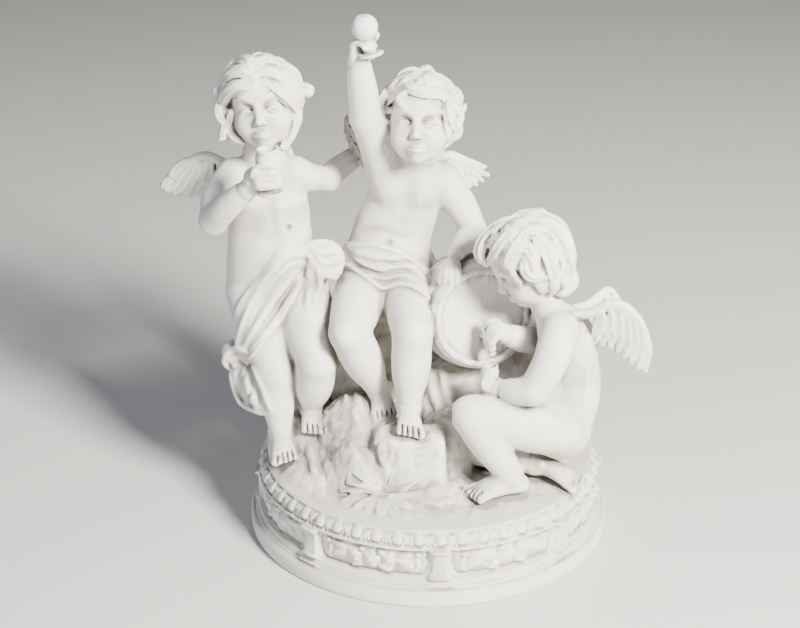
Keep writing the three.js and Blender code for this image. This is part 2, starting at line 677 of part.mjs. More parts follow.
const whole = wasm.Manifold.union([
  ...plinth(),
  ...ground(),
  ...leaves(),
  ...barrel(),
  ...standingCupid(),
  ...seatedCupid(),
  ...kneelingCupid(),
]);

// A joined solid as a three.js geometry
function geometryOf(manifold) {
  const { vertProperties, triVerts } = manifold.getMesh();
  const geometry = new THREE.BufferGeometry();
  geometry.setAttribute("position", new THREE.BufferAttribute(new Float32Array(vertProperties), 3));
  geometry.setIndex(new THREE.BufferAttribute(new Uint32Array(triVerts), 1));
  return geometry;
}

// A joined solid with fewer facets. Each vertex taken away takes two facets with it, and crumbs
// that come loose are left out.
async function simplified(manifold, facets) {
  const surplus = Math.max(0, (manifold.numTri() - facets) / 2);
  const bodies = solid(await new SimplifyModifier().modify(geometryOf(manifold), surplus)).decompose();
  return bodies.reduce((largest, body) => (body.volume() > largest.volume() ? body : largest));
}

// Where two sheets of the skin touch, each is drawn in by a hair's breadth so that they part.
function parted(geometry) {
  geometry.computeVertexNormals();
  const { position, normal } = geometry.attributes;
  const placeOf = (i) => [position.getX(i), position.getY(i), position.getZ(i)].join();
  const places = steps(position.count).map(placeOf);
  const shares = new Map();
  places.forEach((place) => shares.set(place, (shares.get(place) ?? 0) + 1));
  const point = new THREE.Vector3();
  const outward = new THREE.Vector3();
  places.forEach((place, i) => {
    if (shares.get(place) === 1) return;
    point.fromBufferAttribute(position, i);
    outward.fromBufferAttribute(normal, i);
    point.addScaledVector(outward, -PARTING);
    position.setXYZ(i, ...point.toArray());
  });
  return geometry;
}

const BISQUE = new THREE.MeshStandardMaterial({ color: 0xf2f1ec, roughness: 0.62, metalness: 0 });
const carved = parted(geometryOf(await simplified(whole, FACETS)));
const figureGroup = new THREE.Mesh(carved, BISQUE);
figureGroup.name = "figure_group";

const group = new THREE.Group();
group.add(figureGroup);
export default group;
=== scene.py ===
"""The finish of a bisque porcelain figure group: three winged cupids drink round a barrel.

The group is carved in millimetres as a field of distances to its skin. Rounded limbs, locks, feathers
and folds are joined softly to one another, as a modeller joins clay, and the field is then meshed
as one closed skin that takes the place of the plain solid.
"""

import math

import bmesh
import bpy
import numpy as np
import openvdb
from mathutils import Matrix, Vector


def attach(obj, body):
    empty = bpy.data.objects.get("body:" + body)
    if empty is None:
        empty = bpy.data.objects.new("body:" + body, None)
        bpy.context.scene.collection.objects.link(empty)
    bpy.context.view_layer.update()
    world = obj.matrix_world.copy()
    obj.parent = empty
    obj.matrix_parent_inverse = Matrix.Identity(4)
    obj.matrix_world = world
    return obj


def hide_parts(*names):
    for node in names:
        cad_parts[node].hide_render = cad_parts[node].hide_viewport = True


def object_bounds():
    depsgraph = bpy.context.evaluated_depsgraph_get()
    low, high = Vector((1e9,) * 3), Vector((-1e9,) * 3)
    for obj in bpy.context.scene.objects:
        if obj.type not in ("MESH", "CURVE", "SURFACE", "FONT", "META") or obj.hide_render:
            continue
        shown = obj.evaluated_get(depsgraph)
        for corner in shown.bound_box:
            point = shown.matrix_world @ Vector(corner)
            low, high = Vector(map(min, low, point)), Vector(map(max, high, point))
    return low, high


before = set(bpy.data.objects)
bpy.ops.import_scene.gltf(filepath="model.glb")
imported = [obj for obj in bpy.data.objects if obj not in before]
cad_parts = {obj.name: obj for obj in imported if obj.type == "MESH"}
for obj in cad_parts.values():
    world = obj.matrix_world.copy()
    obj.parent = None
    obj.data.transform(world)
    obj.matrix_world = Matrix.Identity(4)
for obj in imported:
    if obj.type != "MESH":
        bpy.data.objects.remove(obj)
solid_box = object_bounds()

MM = 0.001
PITCH = 0.62  # between samples of the field
MARGIN = 3.0  # how far outside a shape its distances are still worked out
FAR = 6.0  # the distance that untouched samples hold
SKIN_TRIANGLES = 196000

# The plinth, as the solid has it
PLINTH_RADIUS = 125
BAND_HEIGHT = 12
FRIEZE_RADIUS = 116
FRIEZE_LOW = 17
FRIEZE_HIGH = 38
RIM_RADIUS = 119
GROUND_RADIUS = 111
GROUND_LEVEL = 50
PANELS = 8
FRONT_UPRIGHT = math.radians(4)
EGGS = 52

FRONT = (0, -1, 0)
UP = (0, 0, 1)


def unit(v):
    v = np.asarray(v, float)
    return v / np.linalg.norm(v)


def between(a, b, t):
    return tuple(np.asarray(a, float) * (1 - t) + np.asarray(b, float) * t)


def scatter(n):
    """A repeatable value from 0 to 1 for each n."""
    return math.modf(abs(math.sin(n * 12.9898 + 4.1414) * 43758.5453))[0]


def stance(forward, up):
    """Rows right, ahead and above of someone who looks forward."""
    ahead = unit(forward)
    right = unit(np.cross(ahead, unit(up)))
    return np.array([right, ahead, np.cross(right, ahead)])


# The camera's place and aim, as the photograph was taken
CAMERA_AT = (0.0, -1.12583, 0.650)
CAMERA_PITCH = math.radians(-23.824)
CAMERA_YAW = math.radians(-1.0133)
VIEW_AHEAD = np.array(
    [
        math.sin(CAMERA_YAW) * math.cos(CAMERA_PITCH),
        math.cos(CAMERA_YAW) * math.cos(CAMERA_PITCH),
        math.sin(CAMERA_PITCH),
    ]
)
VIEW_TOWARDS = -VIEW_AHEAD
VIEW_RIGHT = unit(np.cross(VIEW_AHEAD, UP))
VIEW_UP = np.cross(VIEW_RIGHT, VIEW_AHEAD)
IMAGE_WIDTH = 800
IMAGE_HEIGHT = 628
FOCAL_PIXELS = 1817.5
NEAREST, FARTHEST = 980, 1420  # mm from the camera to the group
SIGHT_STEP = 0.8 * PITCH  # mm along a line of sight
SETTLING = (0.25, 0.5, 0.25)  # shares of a place and its neighbours where a line is smoothed


def view_ways(line):
    """The ways from the camera through pixels of the photograph."""
    line = np.asarray(line, float)
    ways = FOCAL_PIXELS * VIEW_AHEAD + np.outer(line[:, 0] - IMAGE_WIDTH / 2, VIEW_RIGHT)
    ways = ways - np.outer(line[:, 1] - IMAGE_HEIGHT / 2, VIEW_UP)
    return ways / np.linalg.norm(ways, axis=1, keepdims=True)


def on_plane(line, point, normal):
    """The places on a plane that the photograph shows along a line of its pixels."""
    start, normal = np.array(CAMERA_AT) / MM, unit(normal)
    ways = view_ways(line)
    reach = ((np.asarray(point, float) - start) @ normal) / (ways @ normal)
    return start + reach[:, None] * ways


def carry(local, at, turn):
    """A place given from at along the rows of turn, in the group's own frame."""
    return tuple(np.asarray(at, float) + np.asarray(local, float) @ turn)


def flow(stations, spans):
    """Points of a smooth curve through the stations, with their sizes."""
    s = np.array(stations, float)
    p = np.vstack([2 * s[0] - s[1], s, 2 * s[-1] - s[-2]])
    t = np.linspace(0, len(s) - 1, spans * (len(s) - 1) + 1)
    i = np.minimum(t.astype(int), len(s) - 2)
    f = (t - i)[:, None]
    a, b, c, d = p[i], p[i + 1], p[i + 2], p[i + 3]
    return 0.5 * (2 * b + (c - a) * f + (2 * a - 5 * b + 4 * c - d) * f**2 + (3 * b - a - 3 * c + d) * f**3)


def oval(u, v, s, w, d, m):
    """The distance to an ellipsoid's skin, near enough, from offsets along its axes and its half sizes."""
    k0 = np.maximum(np.sqrt((u / w) ** 2 + (v / d) ** 2 + (s / m) ** 2), 1e-3)
    k1 = np.maximum(np.sqrt((u / w**2) ** 2 + (v / d**2) ** 2 + (s / m**2) ** 2), 1e-4)
    return k0 * (k0 - 1) / k1


def ball(centre, sizes, turn=np.eye(3)):
    """An ellipsoid with half sizes along the rows of turn."""
    w, d, m = (float(size) for size in sizes)
    turn = np.asarray(turn, float)

    def distance(x, y, z):
        px, py, pz = x - centre[0], y - centre[1], z - centre[2]
        u, v, s = (px * row[0] + py * row[1] + pz * row[2] for row in turn)
        return oval(u, v, s, w, d, m)

    reach = np.abs(turn.T) @ np.array([w, d, m])
    return [(np.array(centre) - reach, np.array(centre) + reach, distance)]


def limb(stations, facing=FRONT, spans=4, grooves=0, depth=0.0, twist=0.0):
    """A rounded limb through stations (x, y, z, half width, half depth). The depth is measured towards
    facing. Grooves run along it, by depth of its half size, and twist round it by so many radians a
    millimetre."""
    rows = [tuple(s) + (s[3],) if len(s) == 4 else tuple(s) for s in stations]
    points = flow(rows, spans)
    towards = unit(facing)
    parts = []
    gone = 0.0
    for a, b in zip(points[:-1], points[1:]):
        run = float(np.linalg.norm(b[:3] - a[:3]))
        if run < 1e-6:
            continue
        parts.append(segment(a, b, run, towards, grooves, depth, twist, gone))
        gone += run
    return parts


def segment(a, b, run, towards, grooves, depth, twist, gone):
    """One straight stretch of a limb."""
    along = (b[:3] - a[:3]) / run
    across = unit(np.cross(towards, along))
    out = np.cross(along, across)
    is_round = abs(a[3] - a[4]) < 1e-6 and abs(b[3] - b[4]) < 1e-6 and not grooves

    def distance(x, y, z):
        px, py, pz = x - a[0], y - a[1], z - a[2]
        reach = px * along[0] + py * along[1] + pz * along[2]
        t = np.clip(reach / run, 0, 1)
        w = a[3] + t * (b[3] - a[3])
        over = reach - t * run
        if is_round:
            side2 = px * px + py * py + pz * pz - reach * reach
            return np.sqrt(np.maximum(side2 + over * over, 0)) - w
        u = px * across[0] + py * across[1] + pz * across[2]
        v = px * out[0] + py * out[1] + pz * out[2]
        d = a[4] + t * (b[4] - a[4])
        skin = oval(u, v, over, w, d, np.minimum(w, d))
        if grooves:
            turn = np.arctan2(v / d, u / w)
            skin = skin - depth * np.minimum(w, d) * np.cos(grooves * turn + twist * (gone + t * run))
        return skin

    size = max(a[3], a[4], b[3], b[4]) * (1 + depth)
    low = np.minimum(a[:3], b[:3]) - size
    high = np.maximum(a[:3], b[:3]) + size
    return low, high, distance


class Clay:
    """Distances to the skin, negative inside, on a block of samples from low to high."""

    def __init__(self, low, high):
        self.start = np.floor(np.array(low) / PITCH).astype(int)
        count = np.ceil(np.array(high) / PITCH).astype(int) - self.start + 1
        self.field = np.full(count, FAR, np.float32)

    def window(self, low, high):
        first = np.floor(np.asarray(low) / PITCH).astype(int) - self.start
        last = np.ceil(np.asarray(high) / PITCH).astype(int) - self.start + 1
        first = np.clip(first, 0, self.field.shape)
        last = np.clip(last, first, self.field.shape)
        return tuple(slice(a, b) for a, b in zip(first, last))

    def places(self, window):
        """The samples' coordinates along each axis, ready to be combined."""
        lines = [
            ((np.arange(part.start, part.stop) + self.start[i]) * PITCH).astype(np.float32)
            for i, part in enumerate(window)
        ]
        return np.ix_(*lines)

    def distances(self, shape, margin):
        """The window round a shape and its distances there."""
        low = np.min([part[0] for part in shape], axis=0) - margin
        high = np.max([part[1] for part in shape], axis=0) + margin
        window = self.window(low, high)
        found = np.full([part.stop - part.start for part in window], FAR, np.float32)
        if found.size:
            for part_low, part_high, distance in shape:
                inner = self.window(part_low - margin, part_high + margin)
                x, y, z = self.places(inner)
                local = tuple(
                    slice(i.start - o.start, i.stop - o.start) for i, o in zip(inner, window)
                )
                if found[local].size:
                    found[local] = np.minimum(found[local], distance(x, y, z))
        return window, found

    def join(self, shape, soft=0.8):
        """Adds a shape, with a seam that is rounded over about soft mm."""
        window, found = self.distances(shape, MARGIN + soft)
        self.field[window] = softly(self.field[window], found, soft)

    def cut(self, shape, soft=0.8):
        window, found = self.distances(shape, MARGIN + soft)
        self.field[window] = -softly(-self.field[window], found, soft)

    def merge(self, other, soft):
        """Adds what another block holds."""
        first = np.maximum(other.start, self.start)
        last = np.minimum(other.start + other.field.shape, self.start + self.field.shape)
        here = tuple(slice(a, b) for a, b in zip(first - self.start, last - self.start))
        there = tuple(slice(a, b) for a, b in zip(first - other.start, last - other.start))
        self.field[here] = softly(self.field[here], other.field[there], soft)

    def seen(self, line, settle=2):
        """The places on the skin that the photograph shows along a line of its pixels."""
        start = np.array(CAMERA_AT) / MM
        reach = np.arange(NEAREST, FARTHEST, SIGHT_STEP)
        ways, found = view_ways(line), []
        for way in ways:
            gap = self.values(start + reach[:, None] * way)
            first = int(np.argmax(gap < 0)) if (gap < 0).any() else int(np.argmin(gap))
            part = gap[first - 1] / max(gap[first - 1] - gap[first], 1e-6) if gap[first] < 0 else 1
            found.append(reach[first] - (1 - min(part, 1)) * (reach[1] - reach[0]))
        for _ in range(settle):
            found = np.convolve(np.pad(found, 1, "edge"), SETTLING, "valid")
        return start + np.array(found)[:, None] * ways

    def values(self, points):
        """The samples nearest to points, and FAR for points outside the block."""
        place = np.rint(points / PITCH).astype(int) - self.start
        inside = ((place >= 0) & (place < self.field.shape)).all(axis=1)
        found = np.full(len(points), FAR)
        found[inside] = self.field[tuple(place[inside].T)]
        return found


def softly(a, b, soft):
    """The nearer of two distances, rounded where they meet."""
    reach = np.maximum(soft - np.abs(a - b), 0)
    return np.minimum(a, b) - reach * reach / (4 * soft)


STROKE_STEP = 2.4  # pixels of the photograph between the stations of a stroke


def stroke(clay, line, radius, lift=0.0, taper=0.75):
    """A round stroke that follows the skin along a line of the photograph's pixels, thinner at its ends."""
    pixels = evenly(line, max(int(span_of(line) / STROKE_STEP), 3))
    places = clay.seen(pixels) + lift * VIEW_TOWARDS
    t = np.linspace(-1, 1, len(places))
    radii = radius * (1 - taper * t**4)
    return limb([(*place, r) for place, r in zip(places, radii)], spans=1)


def span_of(line):
    return float(np.linalg.norm(np.diff(np.array(line, float), axis=0), axis=1).sum())


def evenly(line, count):
    """Places at even steps along the smooth curve through a line's corners."""
    fine = flow(line, 8)
    gone = np.concatenate([[0], np.cumsum(np.linalg.norm(np.diff(fine, axis=0), axis=1))])
    steps = np.linspace(0, gone[-1], count)
    return np.stack([np.interp(steps, gone, axis) for axis in fine.T], axis=1)


def raise_lines(clay, lines, radius, lift=0.0, soft=1.5, taper=0.75):
    for line in lines:
        clay.join(stroke(clay, line, radius, lift, taper), soft)


def press_lines(clay, lines, radius, lift=0.6, soft=1.5, taper=0.75):
    for line in lines:
        clay.cut(stroke(clay, line, radius, lift, taper), soft)


def sheet(clay, upper, lower, rows, thick, lift=0.4, soft=1.5):
    """Cloth that lies close on the skin between two lines of the photograph's pixels."""
    count = max(int(max(span_of(upper), span_of(lower)) / (2 * STROKE_STEP)), 4)
    first, last = evenly(upper, count), evenly(lower, count)
    cloth = []
    for share in np.linspace(0, 1, rows):
        places = clay.seen(first * (1 - share) + last * share, settle=3) + lift * VIEW_TOWARDS
        cloth += limb([(*place, thick) for place in places], spans=1)
    clay.join(cloth, soft)


# Hair: each lock is a wave over the skull from the crown, given as azimuth and elevation in degrees
# where it starts and where it ends. Azimuth 90 is straight ahead and 0 is the figure's right.
SKULL = np.array([20.5, 23.5, 24.5])
HAIR_MIDDLE = np.array([0, -1, 2])
LOCK_GROOVES = 7
LOCK_DEPTH = 0.15  # of a lock's half size
LOCK_TWIST = 0.07  # radians a millimetre
LOCK_RISE = 0.85  # how high a lock stands for its half width
LOCK_LIFT = 3
THINNEST_LOCK = 0.9
SEEN_FULLNESS = 1.2  # of the locks that show in the photograph
CAP_REACH = 34  # from the head's middle, past all of the cap
CAP_LOW = -20
CAP_FRONT = 6  # how far ahead of the middle the cap ends
HAIRLINE = 17  # how high it is over the brow
HAIRLINE_ARCH = 0.022
NAPE = ((0, -12.5, -18.5), (14.5, 9.5, 11.5))
# Each row of locks: the elevation of its roots and of its tips, and its locks' half width
BACK_ROWS = ((30, -58, 5), (52, -8, 5.4))
CROWN_ROWS = ((72, 26, 5.4), (88, 52, 5))
LOCKS_AROUND = 12  # in the lowest row
BARE = 62  # degrees to each side of straight ahead that the lower rows leave free

# A generic child's face in mm from the middle of the head: right, ahead and up. A swelling is its place,
# its half sizes and how softly it joins. What is given on the right is made on both sides.
FACE_MASSES = (
    ((0, -1, 3), (20, 23, 22), 1),
    ((0, 6, -7), (16.8, 16.5, 18.5), 5),
    ((0, 10, 10), (15.4, 12.6, 12), 5),
)
CHEEKS = (
    ((9.8, 12.6, -10.5), (8, 8.4, 8.6), 4),
    ((6.6, 9.4, -18), (7.2, 7, 6.4), 4),
)
CHIN = ((0, 16.2, -22), (5.6, 5.2, 4.7), 4)
EYE = 8.2  # from the middle of the face to an eye's centre
SOCKET = ((EYE + 0.2, 25, 0.6), (6.4, 7.8, 4.6), 2.2)
EYEBALL = (5.4, 5.4, 5)
LID_REACH = 5.9  # from an eye's centre to its lids
LID_HALF_WIDTH = 5
LIDS_OPEN = 2.4  # how high the upper lid stands when it is open
LIDS_TRAVEL = 3.6
UPPER_LID = (0.85, 2.4, 1, -0.9)  # thickness, arch, its share and the slit under it
LOWER_LID = (0.7, -0.9, 0.8, 0.75)
LOWER_LID_HEIGHT = -3
BROW = ((3.2, 22, 6, 1.6), (9, 20.6, 8.4, 1.7), (14.6, 15.4, 6, 1.4))
NOSE_BRIDGE = ((0, 20.6, 5, 1.8), (0, 22.4, -1, 1.8), (0, 24.2, -6.4, 2.2))
NOSE_TIP = ((0, 24.9, -8), (2.7, 2.7, 2.4), 1.4)
NOSTRIL_WING = ((2.8, 23, -8.9), (1.8, 2.2, 1.7), 0.9)
NOSTRIL = ((1.4, 24.2, -10.9), (0.8, 1.2, 0.9), 0.5)
NOSE_FOLD = ((4.4, 22.6, -8.4, 0.5), (5.6, 21.6, -11.4, 0.7))
MOUTH_MASS = ((0, 20, -16.4), (6.4, 3.2, 3.8), 2.4)
UPPER_LIP = (
    (-5.4, 20.8, -15.6, 0.7),
    (-2, 23, -14.8, 1.15),
    (0, 23.2, -15.1, 1.05),
    (2, 23, -14.8, 1.15),
    (5.4, 20.8, -15.6, 0.7),
)
LOWER_LIP = ((-4.2, 21.4, -16.9, 0.9), (0, 23, -17.9, 1.6), (4.2, 21.4, -16.9, 0.9))
LIP_LINE = ((-6.4, 20.9, -15.4, 0.5), (0, 24.4, -16.4, 0.6), (6.4, 20.9, -15.4, 0.5))
LIP_GROOVE = ((0, 23.7, -11.6, 0.5), (0, 24.2, -13.8, 0.6))
CHIN_FOLD = ((-2.6, 22.8, -20.2, 0.6), (0, 23.4, -20.4, 0.8), (2.6, 22.8, -20.2, 0.6))


def sided(local, side):
    """A place of the face on its right, where side is 1, or mirrored to its left."""
    return (side * local[0], *local[1:])


def on_skull(azimuth, elevation, lift):
    a, e = math.radians(azimuth), math.radians(elevation)
    way = np.array([math.cos(e) * math.cos(a), math.cos(e) * math.sin(a), math.sin(e)])
    reach = 1 / np.linalg.norm(way / SKULL)
    return way * (reach + lift) + HAIR_MIDDLE


class Head:
    """A child's head that looks along forward, carved in its own frame: right, ahead, up."""

    def __init__(self, clay, at, forward, up):
        self.clay, self.at, self.turn = clay, at, stance(forward, up)

    def put(self, local):
        return carry(local, self.at, self.turn)

    def swell(self, local, sizes, soft, side=1):
        self.clay.join(ball(self.put(sided(local, side)), sizes, self.turn), soft)

    def hollow(self, local, sizes, soft, side=1):
        self.clay.cut(ball(self.put(sided(local, side)), sizes, self.turn), soft)

    def stations(self, rows):
        """Places of the face with their sizes, in the group's own frame."""
        return [self.put(row[:3]) + tuple(row[3:]) for row in rows]

    def roll(self, rows, soft):
        """A rounded ridge through places of the face."""
        self.clay.join(limb(self.stations(rows), facing=tuple(self.turn[1])), soft)

    def furrow(self, rows, soft):
        self.clay.cut(limb(self.stations(rows), facing=tuple(self.turn[1])), soft)

    def face(self, lids):
        """lids is how far the upper lids are down, from 0 to 1."""
        for mass in FACE_MASSES:
            self.swell(*mass)
        for side in (-1, 1):
            for mass in CHEEKS:
                self.swell(*mass, side)
        self.swell(*CHIN)
        for side in (-1, 1):
            self.hollow(*SOCKET, side)
            self.eye(side, lids)
        self.roll(NOSE_BRIDGE, soft=2.4)
        self.swell(*NOSE_TIP)
        for side in (-1, 1):
            self.swell(*NOSTRIL_WING, side)
            self.hollow(*NOSTRIL, side)
            self.furrow([sided(place, side) for place in NOSE_FOLD], soft=1.4)
        self.mouth()

    def eye(self, side, lids):
        centre = np.array([side * EYE, 14.4, -0.8])
        self.swell(centre, EYEBALL, 0.4)
        upper = self.lid(centre, LIDS_OPEN - LIDS_TRAVEL * lids, *UPPER_LID)
        self.furrow([(x, y + 0.4, z + 1.8, 0.55) for x, y, z, _ in upper], soft=0.8)
        self.lid(centre, LOWER_LID_HEIGHT, *LOWER_LID)
        self.roll([sided(place, side) for place in BROW], soft=2.2)

    def lid(self, centre, height, thick, arch, share, slit):
        """A lid across the eyeball, with the slit at its edge."""
        stations = []
        for t in np.linspace(-1, 1, 5):
            up = height + (arch * (1 - t * t) - arch * 0.5) * share
            ahead = math.sqrt(max(LID_REACH**2 - (4.4 * t) ** 2 - up * up, 4))
            place = (centre[0] + LID_HALF_WIDTH * t, centre[1] + ahead, centre[2] + up)
            stations.append((*place, thick * (1 - 0.3 * t * t)))
        self.roll(stations, soft=0.4)
        self.furrow([(x, y + 0.9, z + slit, 0.4) for x, y, z, _ in stations[1:-1]], soft=0.5)
        return stations

    def mouth(self):
        self.swell(*MOUTH_MASS)
        self.roll(UPPER_LIP, soft=0.5)
        self.roll(LOWER_LIP, soft=0.6)
        self.furrow(LIP_LINE, soft=0.5)
        self.furrow(LIP_GROOVE, soft=0.9)
        self.furrow(CHIN_FOLD, soft=1.4)

    def lock(self, path, size, tip=0.3):
        """A lock through places in the group, thickest near its middle, with strands along it. tip is the
        share of its half width that it ends with."""
        path = np.asarray(path, float)
        centre = np.asarray(self.at) + HAIR_MIDDLE @ self.turn
        stations = []
        for t, point in zip(np.linspace(0, 1, len(path)), path):
            w = size * (0.62 + 1.05 * t - (1.67 - tip) * t**2.2)
            stations.append((*point, max(w, THINNEST_LOCK), max(LOCK_RISE * w, THINNEST_LOCK)))
        out = np.mean(path, axis=0) - centre
        body = limb(stations, facing=out, grooves=LOCK_GROOVES, depth=LOCK_DEPTH, twist=LOCK_TWIST)
        self.clay.join(body, 0.35)

    def over(self, x, z, lift):
        """The place on the hair that the photograph shows x to the right of the head's middle and z above."""
        middle = np.asarray(self.at, float)
        start = (x * VIEW_RIGHT + z * VIEW_UP) @ self.turn.T - HAIR_MIDDLE
        ray = (VIEW_TOWARDS @ self.turn.T) / (SKULL + lift)
        start = start / (SKULL + lift)
        a, b, c = ray @ ray, start @ ray, start @ start - 1
        reach = (-b + math.sqrt(max(b * b - a * c, 0))) / a
        return middle + x * VIEW_RIGHT + z * VIEW_UP + reach * VIEW_TOWARDS

    def dress(self, locks):
        """Locks that the photograph shows, each with its half width, its tip's share and its way."""
        for size, tip, way in locks:
            lifts = LOCK_LIFT * np.sin(np.pi * np.clip(np.linspace(0.12, 0.95, len(way)), 0, 1))
            path = [self.over(x, z, lift) for (x, z), lift in zip(way, lifts)]
            self.lock(path, SEEN_FULLNESS * size, tip)

    def cap(self, lift=3.4):
        """A close cap of hair, lift off the skull and open over the face, with a cushion at the nape."""
        low = np.array(self.at) - CAP_REACH
        window = self.clay.window(low, low + 2 * CAP_REACH)
        x, y, z = self.clay.places(window)
        px, py, pz = x - self.at[0], y - self.at[1], z - self.at[2]
        u, v, s = (px * row[0] + py * row[1] + pz * row[2] for row in self.turn)
        s = s - HAIR_MIDDLE[2]
        v = v - HAIR_MIDDLE[1]
        w, d, m = (float(n) for n in SKULL + lift)
        shell = oval(u, v, s, w, d, m)
        face = np.maximum(CAP_FRONT - v, s - HAIRLINE + HAIRLINE_ARCH * u * u)
        shell = np.maximum(shell, -0.8 * face)
        shell = np.maximum(shell, CAP_LOW - s)
        self.clay.field[window] = softly(self.clay.field[window], shell.astype(np.float32), 1.2)
        self.swell(*NAPE, 3)

    def hair(self, seed, crown=1.0):
        """Rows of waved locks from the crown down the back and the sides, clear of the face and brow."""
        rows = BACK_ROWS + tuple((top, low, size * crown) for top, low, size in CROWN_ROWS)
        for row, (top, low, size) in enumerate(rows):
            count = LOCKS_AROUND - 2 * row
            for i in range(count):
                n = seed + 40 * row + i
                azimuth = 90 + 360 * (i + 0.5 * (row % 2) + 0.3 * scatter(n)) / count
                ahead = abs((azimuth - 90 + 180) % 360 - 180)
                if row < 2 and ahead < BARE:
                    continue
                drop = low if ahead > 100 else max(low, 46 if ahead < BARE else -28)
                self.wave(azimuth, top, drop, size * (0.85 + 0.3 * scatter(n + 7)), n)

    def wave(self, azimuth, top, low, size, n):
        """One waved lock from its root's elevation down to its tip's."""
        sway = (10 + 9 * scatter(n + 3)) * (1 if scatter(n + 5) > 0.5 else -1)
        lean = 22 * (scatter(n + 9) - 0.5)
        path = []
        for t in np.linspace(0, 1, 5):
            elevation = top + (low - top) * t
            spread = 1 / max(math.cos(math.radians(elevation)), 0.35)
            side = (sway * math.sin(5.2 * t) * (0.4 + 0.6 * t) + lean * t) * spread
            lift = 1.2 + 2.4 * math.sin(math.pi * min(1, 1.1 * t))
            path.append(self.put(on_skull(azimuth + side, elevation, lift)))
        self.lock(path, size)


# Hands, in mm: right, along the hand and towards the palm
PALM = (6.2, 7.5, 3.6)
FINGER_LENGTHS = (9.5, 11, 11.5, 10.5)
FINGER_PITCH = 2.9
FINGER_STEPS = (0, 0.4, 0.75, 1)
KNUCKLE = (1.9, 2.4, 1.6)
THUMB = ((3.6, -1, 1, 2.9), (7.6, 3.6, 3, 2.5), (8.2, 8, 4.8, 2.1), (7.2, 11.4, 5.8, 1.6))


def hand(clay, at, along, palm, bend, thumb):
    """A palm, four fingers that bend towards the palm's side, and a thumb, which is on the right where
    thumb is 1 and on the left where it is -1."""
    turn = stance(along, palm)
    clay.join(ball(carry((0, 2.4, 0), at, turn), PALM, turn), soft=3)
    for i, length in enumerate(FINGER_LENGTHS):
        side = (i - 1.5) * FINGER_PITCH
        stations = []
        for t in FINGER_STEPS:
            angle = 0.62 * bend * t
            tip = (side, 5 + length * (0.2 + t * math.cos(angle)), length * t * math.sin(angle))
            stations.append((*carry(tip, at, turn), 2.15 - 0.55 * t + (0.15 if t == 0.4 else 0)))
        clay.join(limb(stations), soft=0.35)
        clay.join(ball(carry((side, 7.2, -1.4), at, turn), KNUCKLE, turn), soft=1.5)
    clay.join(limb([(*carry((thumb * x, y, z), at, turn), size) for x, y, z, size in THUMB]), soft=0.9)


# A foot, in mm: right, along the foot and up. A station of the sole is how far along it lies, the share
# of the foot's length that is added, its height, its half width and its half depth
SOLE = ((-4, 0, -0.5, 6.2, 5.2), (0, 0.25, 1, 6.4, 6.4), (0, 0.6, 0.4, 7.8, 5.6), (0, 0.92, -1.6, 9, 3.8))
ANKLE_BONE = (5.6, 2.6)  # how far out, and its half size
TOES = 5
TOE_PITCH = 3.4
TOE_STEP = 1.1  # how much shorter each toe is than the one before
BIG_TOE = 3.3  # half sizes of the big toe and of the next, which the others shrink from
SECOND_TOE = 2.5
TOE_SHRINK = 0.12
# The gap between two toes: its share of the gap's way out, how far along, height, half width, half depth
TOE_GAP = ((0.95, -3.6, 1, 0.4, 1.3), (1, -0.5, 0, 0.55, 2.3), (1.02, 4, -2, 0.75, 3.2))


def foot(clay, heel, toes, big, up=UP, size=1.0):
    """A foot from heel to toes. big is 1 where the big toe is on the right of someone who looks along it."""
    along = np.subtract(toes, heel)
    turn = size * stance(along, up)
    length = float(np.linalg.norm(along)) / size
    above = tuple(turn[2] / size)
    sole = []
    for start, share, height, width, depth in SOLE:
        place = carry((0, start + length * share, height), heel, turn)
        sole.append((*place, width * size, depth * size))
    clay.join(limb(sole, facing=above), soft=3)
    bone_out, bone = ANKLE_BONE
    for side in (-1, 1):
        clay.join(ball(carry((side * bone_out, 0, 5.5), heel, turn), (bone * size,) * 3), soft=3)
    for i in range(TOES):
        thick = BIG_TOE if i == 0 else SECOND_TOE - TOE_SHRINK * i
        side = big * (6.5 - TOE_PITCH * i)
        reach = length + 2.8 - TOE_STEP * i - (0.5 if i == 0 else 0)
        root = carry((side * 0.94, reach - 4.2, -1.2), heel, turn)
        tip = carry((side, reach + 0.9, -2.6), heel, turn)
        pad = size * thick
        clay.join(limb([(*root, pad * 0.9), (*between(root, tip, 0.6), pad * 0.86), (*tip, pad)]), soft=0.3)
        nail = carry((side, reach + thick * 0.5, -2.2 + thick * 0.62), heel, turn)
        clay.join(ball(nail, (pad * 0.55, pad * 0.62, pad * 0.34), turn / size), soft=0.3)
    for i in range(TOES - 1):
        side = big * (4.9 - TOE_PITCH * i + (0.3 if i == 0 else 0))
        reach = length + 2.8 - TOE_STEP * i
        gap = []
        for share, start, height, width, depth in TOE_GAP:
            place = carry((side * share, reach + start, height), heel, turn)
            gap.append((*place, width * size, depth * size))
        clay.cut(limb(gap, facing=above, spans=2), soft=0.4)


CREASE = 0.5  # half depth of the fold line round a plump wrist or ankle
ELBOW = 2  # the station of an arm where it bends
KNEE = 13  # half size just above the knee
SHIN_TOP = 12.6
KNEECAP = (6, 6, 6)


